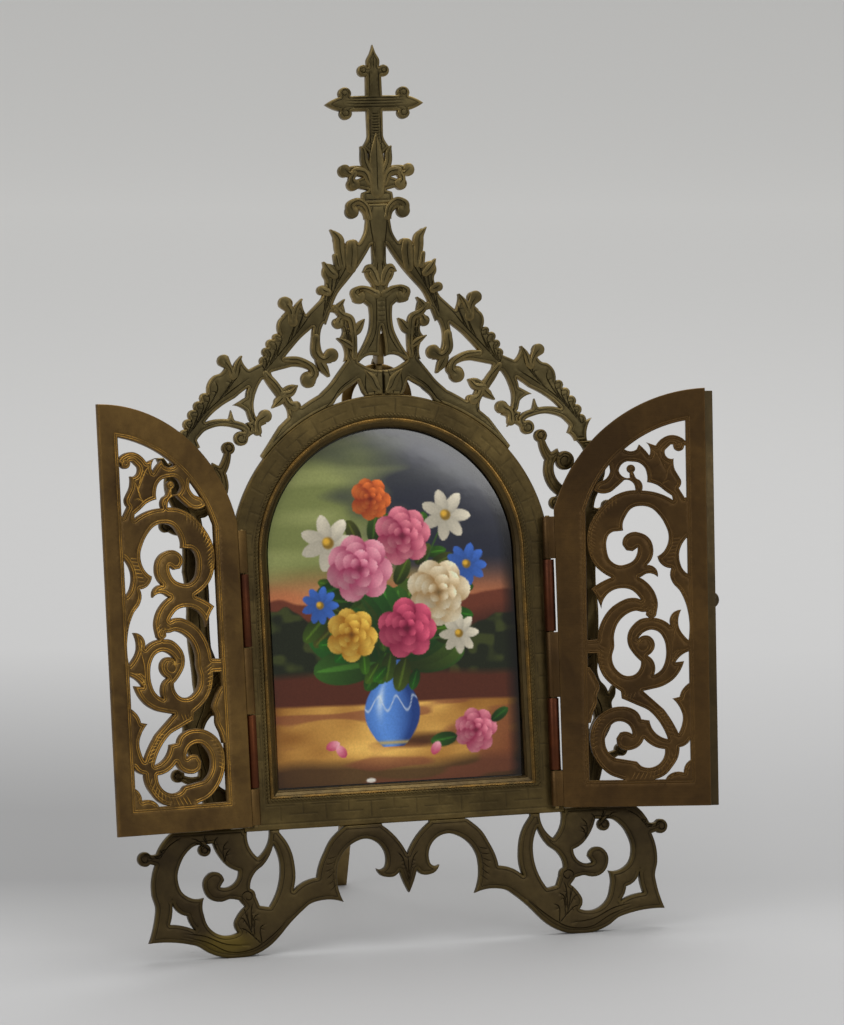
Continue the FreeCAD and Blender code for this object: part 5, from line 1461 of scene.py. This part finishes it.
def plaque():
    """The domed plaque with its painting, closed at the back."""
    outline = Outline([arch_path(DOME_HALF, DOME_SILL)])
    spacing = 0.37
    grid = outline.grid(spacing)
    grid = grid[outline.distance(grid) > 0.5 * spacing]
    places, faces = triangles(outline, grid)
    r = (DOME_REACH ** 2 + PLAQUE_RISE ** 2) / (2 * PLAQUE_RISE)
    middle = (PICTURE_SILL + ARCH_CENTRE + PICTURE_HALF) / 2
    dome = PLAQUE_FRONT - PLAQUE_RISE + r - np.sqrt(r * r - places[:, 0] ** 2 - (places[:, 1] - middle) ** 2)
    dome = np.minimum(dome, PLAQUE_FRONT)
    rim = cap_edges(faces)
    front = np.column_stack([places[:, 0], dome, places[:, 1]])
    count = len(outline.a)
    rows = []
    margin_half, margin_sill = PICTURE_HALF + PLAQUE_MARGIN, PICTURE_SILL - PLAQUE_MARGIN
    for half, sill, y in ((DOME_HALF, DOME_SILL, PLAQUE_FRONT), (margin_half, margin_sill, PLAQUE_FRONT),
                          (margin_half, margin_sill, PLAQUE_BACK)):
        path = arch_path(half, sill)
        rows.append(np.column_stack([path[:, 0], np.full(count, y), path[:, 1]]))
    nearest = [[outline.tree.find((*place, 0))[1] for place in places[side]] for side in rim.T]
    step, after = rows[0][nearest[0]], rows[0][nearest[1]]
    front[rim] = np.stack([step, after], 1)
    front[rim, 1] = dome[rim]
    base = len(front)
    pairs = np.arange(len(rim)) + base
    points = np.vstack([front, step, after] + rows)
    walls = np.vstack([np.column_stack([rim[:, 1], rim[:, 0], pairs]),
                       np.column_stack([rim[:, 1], pairs, pairs + len(rim)])])
    start = base + 2 * len(rim)
    sides = strip_faces(3, count, False) + start
    back_outline = Outline([arch_path(margin_half, margin_sill)])
    back_places, back_faces = triangles(back_outline, np.zeros((0, 2)))
    back = np.column_stack([back_places[:, 0], np.full(len(back_places), PLAQUE_BACK), back_places[:, 1]])
    points = np.vstack([points, back])
    everything = np.vstack([faces, walls, sides, back_faces[:, ::-1] + len(points) - len(back)])
    colour = still_life(points[:, 0], points[:, 2])
    # Painted shade: the plaque's front margin under the rim is coloured dark brown, not porcelain white; the
    # back stays white.
    colour[points[:, 1] > PLAQUE_FRONT - 0.01] = linear((0.16, 0.13, 0.08))
    colour[points[:, 1] > PLAQUE_FRONT + 0.01] = linear((0.86, 0.84, 0.78))
    points, everything, values = weld(points, everything, {"picture": colour}, PLATE)
    made = mesh_object("painted_plaque", points, everything, values)
    outward(made)
    made.data.set_sharp_from_angle(angle=math.radians(40))
    return made


# Settings

class AltarFinish(bpy.types.PropertyGroup):
    patina: FloatVectorProperty(name="Patina", description="Dark patina of the castings, as a screen shows it",
                                default=(0.25, 0.203, 0.10), subtype="COLOR", size=3, min=0, max=1)
    patina_light: FloatVectorProperty(name="Patina, light", description="Lighter clouds in that patina",
                                      default=(0.40, 0.335, 0.185), subtype="COLOR", size=3, min=0, max=1)
    # The left door's colours are a lit copy of the door bronze: lighter, with gold lines that are partly bright
    # cut metal and partly painted highlight.
    lit_door_brown: FloatVectorProperty(name="Door brown", description="Warm brown patina of the doors",
                                    default=(0.30, 0.22, 0.11), subtype="COLOR", size=3, min=0, max=1)
    lit_door_light: FloatVectorProperty(name="Door brown, light", description="Lighter clouds on the doors",
                                    default=(0.48, 0.37, 0.19), subtype="COLOR", size=3, min=0, max=1)
    lit_cut_gold: FloatVectorProperty(name="Cut brass", description="Bright metal where the left door's lines are cut",
                              default=(0.90, 0.70, 0.31), subtype="COLOR", size=3, min=0, max=1)


class AltarCastings(bpy.types.PropertyGroup):
    edge_radius: FloatProperty(name="Edge radius", description="Rounding along the edges of the castings",
                               default=0.45 * MM, min=0.1 * MM, max=0.8 * MM, unit="LENGTH")
    line_inset: FloatProperty(name="Line inset", description="Distance of the engraved line from the outline",
                              default=0.95 * MM, min=0.4 * MM, max=2 * MM, unit="LENGTH")
    line_depth: FloatProperty(name="Line depth", description="Depth of the engraved line",
                              default=0.13 * MM, min=0, max=0.6 * MM, unit="LENGTH")
    mesh_spacing: FloatProperty(name="Mesh spacing", description="Distance between the points of a face",
                                default=0.8 * MM, min=0.4 * MM, max=3 * MM, unit="LENGTH")


class AltarOrnament(bpy.types.PropertyGroup):
    rope_pitch: FloatProperty(name="Rope pitch", description="Distance between the strands of the rope",
                              default=1.15 * MM, min=0.5 * MM, max=3 * MM, unit="LENGTH")
    key_pitch: FloatProperty(name="Key pitch", description="Length of one pair of Ts in the border's fret",
                             default=13.0 * MM, min=6 * MM, max=24 * MM, unit="LENGTH")


class AltarStage(bpy.types.PropertyGroup):
    # The floor's tones are painted light: the near one is painted shade by the altar, the far ones the light
    # further off and its fall towards the far end.
    floor_near_shaded: FloatVectorProperty(name="Floor", description="Colour of the floor near the altar",
                                    default=(0.42, 0.42, 0.42), subtype="COLOR", size=3, min=0, max=1)
    floor_far_lit: FloatVectorProperty(name="Floor behind", description="Colour of the floor behind the altar",
                                   default=(0.70, 0.70, 0.685), subtype="COLOR", size=3, min=0, max=1)
    floor_end_dimmed: FloatVectorProperty(name="Floor, far end", description="Colour of the floor farthest off",
                                   default=(0.66, 0.66, 0.645), subtype="COLOR", size=3, min=0, max=1)
    room_light: FloatProperty(name="Room light", description="Strength of the light from high in the room",
                              default=0.85, min=0, max=5)
    horizon_light: FloatProperty(name="Horizon", description="Strength of the room's light near the horizon",
                                 default=0.34, min=0, max=5)
    key_power: FloatProperty(name="Key light", description="Power of the large soft light above",
                             default=16.0, min=0, max=200, unit="POWER")
    window_power: FloatProperty(name="Window", description="Power of the light that the plaque reflects",
                                default=2.2, min=0, max=100, unit="POWER")


GROUPS = {
    "altar_finish": AltarFinish,
    "altar_castings": AltarCastings,
    "altar_ornament": AltarOrnament,
    "altar_stage": AltarStage,
}
made_materials = {}


def finishes():
    """Every metal by name, made on first use."""
    if made_materials:
        return made_materials
    look = bpy.context.scene.altar_finish
    patina, patina_light, lit_cut_gold = tuple(look.patina), tuple(look.patina_light), tuple(look.lit_cut_gold)
    brown, brown_light = tuple(look.lit_door_brown), tuple(look.lit_door_light)
    made_materials.update(
        casting=brass("patinated_casting", patina, patina_light, (0.54, 0.44, 0.23), (0.14, 0.115, 0.06), 0.46),
        # The crest takes a lighter copy of the casting brass, its brighter edges partly wear and partly painted
        # highlight where they catch the light.
        crest=brass("crest_casting_lit", (0.265, 0.23, 0.13), (0.425, 0.375, 0.235), (0.66, 0.56, 0.34),
                    (0.15, 0.125, 0.075), 0.44, edge=0.75),
        # The feet take a darker copy of the casting brass as painted shade low on the altar.
        foot=brass("shaded_foot_casting", (0.21, 0.165, 0.09), (0.32, 0.265, 0.15), (0.38, 0.32, 0.12),
                   (0.11, 0.09, 0.05), 0.48),
        # Lit and shaded copies of one door bronze: the left door lighter with painted highlights in its gold
        # lines, the right door darker as painted shade.
        door=brass("left_door_bronze_lit", brown, brown_light, (0.60, 0.46, 0.22), lit_cut_gold, 0.4, brushed=True,
                   edge=0.35),
        dull_door=brass("right_door_bronze_shaded", (0.255, 0.18, 0.085), (0.37, 0.27, 0.13), (0.46, 0.35, 0.17),
                        (0.42, 0.31, 0.14), 0.42, brushed=True, edge=0.3),
        strip=brass("worn_strip", (0.23, 0.19, 0.11), (0.33, 0.27, 0.16), (0.72, 0.66, 0.48),
                    (0.2, 0.15, 0.1), 0.36, brushed=True, edge=0.9),
        red=brass("red_knuckles", (0.27, 0.13, 0.06), (0.40, 0.21, 0.09), (0.55, 0.34, 0.18),
                  (0.2, 0.1, 0.06), 0.4),
        # The gilt rim's near-black line colour is painted shade on the deep inner wall of the picture's
        # opening.
        bezel=brass("gilt_rim", (0.24, 0.19, 0.10), (0.38, 0.31, 0.16), (0.54, 0.40, 0.17),
                    (0.05, 0.04, 0.025), 0.34, edge=0.7),
        ring=brass("ring_brass", (0.36, 0.28, 0.14), (0.62, 0.50, 0.27), (0.82, 0.70, 0.42),
                   (0.2, 0.15, 0.08), 0.32),
        sheet=brass("rolled_sheet", (0.40, 0.33, 0.19), (0.56, 0.47, 0.29), (0.70, 0.60, 0.38),
                    (0.2, 0.15, 0.08), 0.42, brushed=True),
        porcelain=porcelain(),
        card=card(),
    )
    return made_materials


def spacing():
    """Distance between the points of a casting's face, in millimetres."""
    wide = bpy.context.scene.altar_castings.mesh_spacing / MM
    return wide


class AltarOperator:
    bl_options = {"REGISTER", "UNDO"}


class ALTAR_OT_frame(AltarOperator, bpy.types.Operator):
    """Frame round the picture, with its engraved lines"""
    bl_idname = "altar.frame"
    bl_label = "Frame"

    def execute(self, context):
        look = context.scene.altar_castings
        outline = plate_outline("arch_frame", PLATE)
        made = chased_plate("frame_casting", outline, PLATE, (0.0, CASTING), look.edge_radius / MM,
                            chasing=frame_chasing(), spacing=0.6 * spacing())
        settle(made, "altar_frame", "arch_frame", "casting")
        return {"FINISHED"}


class ALTAR_OT_gable(AltarOperator, bpy.types.Operator):
    """Pierced gable and the cross on it"""
    bl_idname = "altar.gable"
    bl_label = "Gable and cross"

    def execute(self, context):
        look = context.scene.altar_castings
        line = (look.line_inset / MM, LINE_HALF, look.line_depth / MM)
        for name, node, chasing in (("gable_casting", "gable_crest", gable_chasing()),
                                    ("cross_casting", "cross_finial", cross_chasing())):
            made = chased_plate(name, plate_outline(node, PLATE), PLATE, (0.0, CASTING),
                                look.edge_radius / MM, lines=(line,), chasing=chasing, swell=0.22,
                                spacing=spacing(), is_bent=True)
            settle(made, "altar_frame", node, "crest")
        for name, spines in (("gable_leaves", PROUD_GABLE), ("cross_leaves", PROUD_CROSS)):
            settle(proud_leaves(name, spines), "altar_frame", None, "crest")
        return {"FINISHED"}


class ALTAR_OT_side_scrolls(AltarOperator, bpy.types.Operator):
    """Scroll strips behind the doors"""
    bl_idname = "altar.side_scrolls"
    bl_label = "Side scrolls"

    def execute(self, context):
        look = context.scene.altar_castings
        line = (look.line_inset / MM, LINE_HALF, look.line_depth / MM)
        for word, side in (("left", -1), ("right", 1)):
            node = word + "_side_scroll"
            made = chased_plate(word + "_scroll_casting", plate_outline(node, PLATE), PLATE, (0.0, CASTING),
                                look.edge_radius / MM, lines=(line,), chasing=side_chasing(side), swell=0.22,
                                spacing=spacing())
            settle(made, "altar_frame", node, "casting")
        return {"FINISHED"}


class ALTAR_OT_feet(AltarOperator, bpy.types.Operator):
    """Scroll feet and pendant"""
    bl_idname = "altar.feet"
    bl_label = "Feet"

    def execute(self, context):
        look = context.scene.altar_castings
        line = (look.line_inset / MM + 0.15, LINE_HALF, look.line_depth / MM)
        made = chased_plate("foot_casting", plate_outline("foot_scrollwork", PLATE), PLATE, (0.0, CASTING),
                            look.edge_radius / MM, lines=(line,), chasing=foot_chasing(), swell=0.25,
                            spacing=spacing(), worn=bright_foot_patch, floor=cad_box[0].z)
        settle(made, "altar_frame", "foot_scrollwork", "foot")
        return {"FINISHED"}


class ALTAR_OT_doors(AltarOperator, bpy.types.Operator):
    """Both pierced doors with their knuckles, the meeting strip and the knob"""
    bl_idname = "altar.doors"
    bl_label = "Doors"

    def execute(self, context):
        lines = ((0.5, 0.19, 0.16), (1.15, 0.17, 0.13))
        for word, side in (("left", -1), ("right", 1)):
            matrix = door_matrix(side)
            node = word + "_door_panel"
            made = chased_plate(word + "_door_casting", plate_outline(node, matrix), matrix,
                                (HINGE_Y, HINGE_Y + DOOR), 0.28, lines=lines, chasing=door_chasing(side),
                                spacing=spacing() * 1.3, both=True, where_lines=in_opening(side))
            # The left door takes the lit copy of the bronze, the right door the shaded copy.
            finish = "door" if side < 0 else "dull_door"
            settle(made, word + "_door", node, finish)
            settle_soft(word + "_door_knuckles", word + "_door_barrels", BARREL_EDGE, word + "_door",
                        finish)
        settle_soft("door_astragal", "meeting_strip", 0.3, "right_door", "strip")
        settle(turned_knob(), "right_door", "door_knob", "strip")
        return {"FINISHED"}


def turned_knob():
    """Turned knob with a neck, a bead and a domed face."""
    profile = [(0, 0), (1.15, 0), (1.1, 0.5), (1.1, 0.9), (1.5, 1.25), (1.5, 1.5), (1.9, 1.9), (2.45, 2.35),
               (2.6, 2.9), (2.58, 3.3), (2.4, 3.8), (2.0, 4.3), (1.4, 4.7), (0.7, 4.98), (0.0, 5.08)]
    smooth = curve(profile[1:], 0.12)
    points, faces = lathe(np.vstack([profile[:1], smooth]), 48)
    points[:, 1] *= -1
    return closed_piece("turned_knob", points + KNOB_PLACE, faces, door_matrix(1))


class ALTAR_OT_rim(AltarOperator, bpy.types.Operator):
    """Bevelled rim round the picture"""
    bl_idname = "altar.rim"
    bl_label = "Rim"

    def execute(self, context):
        profile = [(3.0, 2.5, 2.4), (3.0, 2.5, 0.25), (2.9, 2.45, 0.06), (2.7, 2.4, 0.0), (2.2, 2.2, 0.0),
                   (2.1, 2.1, 0.04), (1.75, 1.75, 0.3), (1.6, 1.6, 0.22), (1.45, 1.45, 0.36),
                   (0.7, 0.7, 0.98), (0.55, 0.55, 0.9), (0.4, 0.4, 1.1), (0.06, 0.06, 1.5),
                   (0.0, 0.0, 1.65), (0.0, 0.0, 3.2), (3.9, 3.9, 3.2), (3.9, 3.9, 2.4)]
        made = arch_moulding("bevelled_rim", profile)
        settle(made, "altar_frame", "plaque_bezel", "bezel")
        return {"FINISHED"}


class ALTAR_OT_plaque(AltarOperator, bpy.types.Operator):
    """Domed porcelain plaque with a painted still life"""
    bl_idname = "altar.plaque"
    bl_label = "Plaque"

    def execute(self, context):
        settle(plaque(), "altar_frame", "porcelain_plaque", "porcelain")
        return {"FINISHED"}


class ALTAR_OT_ornament(AltarOperator, bpy.types.Operator):
    """Twisted rope round the opening"""
    bl_idname = "altar.ornament"
    bl_label = "Rope"

    def execute(self, context):
        look = context.scene.altar_ornament
        points = [(x, 0.02, z) for x, z in arch_path(ROPE_HALF, ROPE_SILL)]
        edges = [(index, (index + 1) % len(points)) for index in range(len(points))]
        made = grown("rope_moulding", points, edges, along_tree(),
                     {"Piece": bead(), "Pitch": look.rope_pitch / MM, "Material": finishes()["casting"]}, PLATE)
        settle(made, "altar_frame", None, "casting")
        return {"FINISHED"}


class ALTAR_OT_hinges(AltarOperator, bpy.types.Operator):
    """Frame knuckles and hinge pins"""
    bl_idname = "altar.hinges"
    bl_label = "Hinges"

    def execute(self, context):
        for word in ("left", "right"):
            settle_soft(word + "_frame_knuckles", word + "_frame_barrels", BARREL_EDGE, "altar_frame",
                        "red")
            settle_soft(word + "_hinge_pin", word + "_pin", 0.2, "altar_frame", "sheet")
        return {"FINISHED"}


class ALTAR_OT_back(AltarOperator, bpy.types.Operator):
    """Back cover, card, wall ring, staple, strut and their fasteners"""
    bl_idname = "altar.back"
    bl_label = "Back"

    def execute(self, context):
        settle_soft("packing_card", "grey_card", 0.05, "altar_frame", "card", 1)
        for node, name, width in (("back_cover", "pressed_cover", 0.35), ("ring_staple", "ring_eye", 0.25),
                                  ("strut_bracket", "strut_ears", 0.25), ("strut_pin", "strut_rivet", 0.25)):
            settle_soft(node, name, width, "altar_frame", "sheet")
        settle_soft("easel_strut", "folding_strut", 0.3, "strut", "sheet")
        settle(wall_ring(), "wall_ring", "hanging_ring", "ring")
        out = PICTURE_HALF + COVER_MARGIN + COVER_WALL + 1.7
        turn = math.radians(48)
        screws = []
        for side in (-1, 1):
            for x, z in ((out, 45.0), (out, 92.0), (out * math.cos(turn), ARCH_CENTRE + out * math.sin(turn))):
                screws.append((side * x, CASTING + COVER_WALL, z))
        rivets = [(x, COVER_BACK + 1.0, z) for x in (-2.6, 2.6) for z in (121.2, 134.9)]
        tree = fasteners_tree()
        for name, places, head, seed in (("cover_screws", screws, screw_head(1.5, 0.8, True), 3),
                                         ("bracket_rivets", rivets, screw_head(0.9, 0.5, False), 1)):
            made = grown(name, places, [], tree, {"Piece": head, "Seed": seed, "Material": finishes()["sheet"]},
                         PLATE)
            settle(made, "altar_frame", None, "sheet")
        return {"FINISHED"}


def wall_ring():
    """Flat ring with rounded edges, hanging upright from its eye."""
    low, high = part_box("hanging_ring")
    middle = (low + high) / 2
    outer = (high.x - low.x) / 2 / MM
    inner = outer - RING_BAND
    thick = 0.7
    soft = 0.35
    profile = []
    for x, y, start in ((outer - soft, thick - soft, 0), (inner + soft, thick - soft, 90),
                        (inner + soft, -thick + soft, 180), (outer - soft, -thick + soft, 270)):
        for turn in np.radians(np.linspace(start, start + 90, 5)):
            profile.append((x + soft * math.cos(turn), y + soft * math.sin(turn)))
    points, faces = lathe(profile, 96)
    matrix = Matrix.Translation(middle) @ Matrix.Scale(MM, 4)
    return closed_piece("wall_ring_band", points, faces, matrix)


class ALTAR_OT_stage(AltarOperator, bpy.types.Operator):
    """Floor, lights and camera"""
    bl_idname = "altar.stage"
    bl_label = "Studio"

    def execute(self, context):
        scene = context.scene
        look = scene.altar_stage
        scene.view_settings.view_transform = "Standard"
        mesh = bpy.data.meshes.new("studio_floor")
        size = 40.0
        corners = [(-size, -size, 0), (size, -size, 0), (size, size, 0), (-size, size, 0)]
        mesh.from_pydata(corners, [], [(0, 1, 2, 3)])
        mesh.materials.append(backdrop(tuple(look.floor_near_shaded), tuple(look.floor_far_lit), tuple(look.floor_end_dimmed)))
        scene_object("studio_floor", mesh)
        world = bpy.data.worlds.new("studio_room")
        world.use_nodes = True
        net = Net(world.node_tree)
        room = world.node_tree.nodes["Background"]
        room.inputs["Color"].default_value = (0.975, 0.97, 0.965, 1.0)
        aim = net.new("ShaderNodeSeparateXYZ")
        net.link(net.new("ShaderNodeTexCoord").outputs["Generated"], aim.inputs[0])
        net.link(net.ranged(aim.outputs["Z"], 0.2, 0.7, look.horizon_light, look.room_light),
                 room.inputs["Strength"])
        scene.world = world
        for name, place, aim, wide, power, turn in (
                ("soft_box_above", (0.35, 0.25, 1.5), (0, 0, 0.1), (1.3, 1.3), look.key_power, 0),
                ("soft_box_left", (-1.5, -0.6, 0.9), (0, 0, 0.12), (0.9, 0.9), look.key_power * 0.45, 0),
                ("window_right", (0.62, -1.52, 0.70), (0, 0, 0.13), (0.5, 0.26), look.window_power, -35)):
            data = bpy.data.lights.new(name, "AREA")
            data.shape = "RECTANGLE"
            data.size, data.size_y = wide
            data.energy = power
            light = scene_object(name, data)
            facing = (Vector(aim) - Vector(place)).to_track_quat("-Z", "Y").to_matrix().to_4x4()
            rolled = Matrix.Rotation(math.radians(turn), 4, "Z")
            light.matrix_world = Matrix.Translation(place) @ facing @ rolled
        scene.camera = photo_camera()
        return {"FINISHED"}


def photo_camera():
    """Camera where the photograph was taken from, turned about its three axes as it was."""
    turn = Matrix.Identity(3)
    for axis, angle in CAMERA_TURNS:
        turn = turn @ Matrix.Rotation(math.radians(angle), 3, axis)
    turn = turn @ Matrix(((1, 0, 0), (0, 0, -1), (0, 1, 0))) @ Matrix.Rotation(LEAN, 3, "X")
    axes = Matrix((turn[0], -turn[1], -turn[2])).transposed()
    data = bpy.data.cameras.new("photo_camera")
    data.lens = CAMERA_LENS
    data.sensor_width = 36.0
    data.clip_end = 100.0
    made = scene_object("photo_camera", data)
    made.matrix_world = Matrix.Translation(PLATE @ Vector(CAMERA_PLACE)) @ axes.to_4x4()
    return made


OPERATORS = (ALTAR_OT_frame, ALTAR_OT_gable, ALTAR_OT_side_scrolls, ALTAR_OT_feet, ALTAR_OT_doors,
             ALTAR_OT_rim, ALTAR_OT_plaque, ALTAR_OT_ornament, ALTAR_OT_hinges, ALTAR_OT_back, ALTAR_OT_stage)


class ALTAR_PT_panel(bpy.types.Panel):
    """The altar's pieces, one button each, with their settings"""
    bl_idname = "ALTAR_PT_panel"
    bl_label = "Brass table altar"
    bl_space_type = "VIEW_3D"
    bl_region_type = "UI"
    bl_category = "Altar"

    def draw(self, context):
        for name, group in GROUPS.items():
            for key in group.__annotations__:
                self.layout.prop(getattr(context.scene, name), key)
        for operator in OPERATORS:
            self.layout.operator(operator.bl_idname)


def register():
    for item in (*GROUPS.values(), *OPERATORS, ALTAR_PT_panel):
        bpy.utils.register_class(item)
    for name, group in GROUPS.items():
        setattr(bpy.types.Scene, name, PointerProperty(type=group))


def unregister():
    for name in GROUPS:
        delattr(bpy.types.Scene, name)
    for item in (ALTAR_PT_panel, *reversed(OPERATORS), *reversed(list(GROUPS.values()))):
        bpy.utils.unregister_class(item)


def main():
    register()
    for operator in OPERATORS:
        group, name = operator.bl_idname.split(".")
        getattr(getattr(bpy.ops, group), name)()


if __name__ == "__main__":
    main()
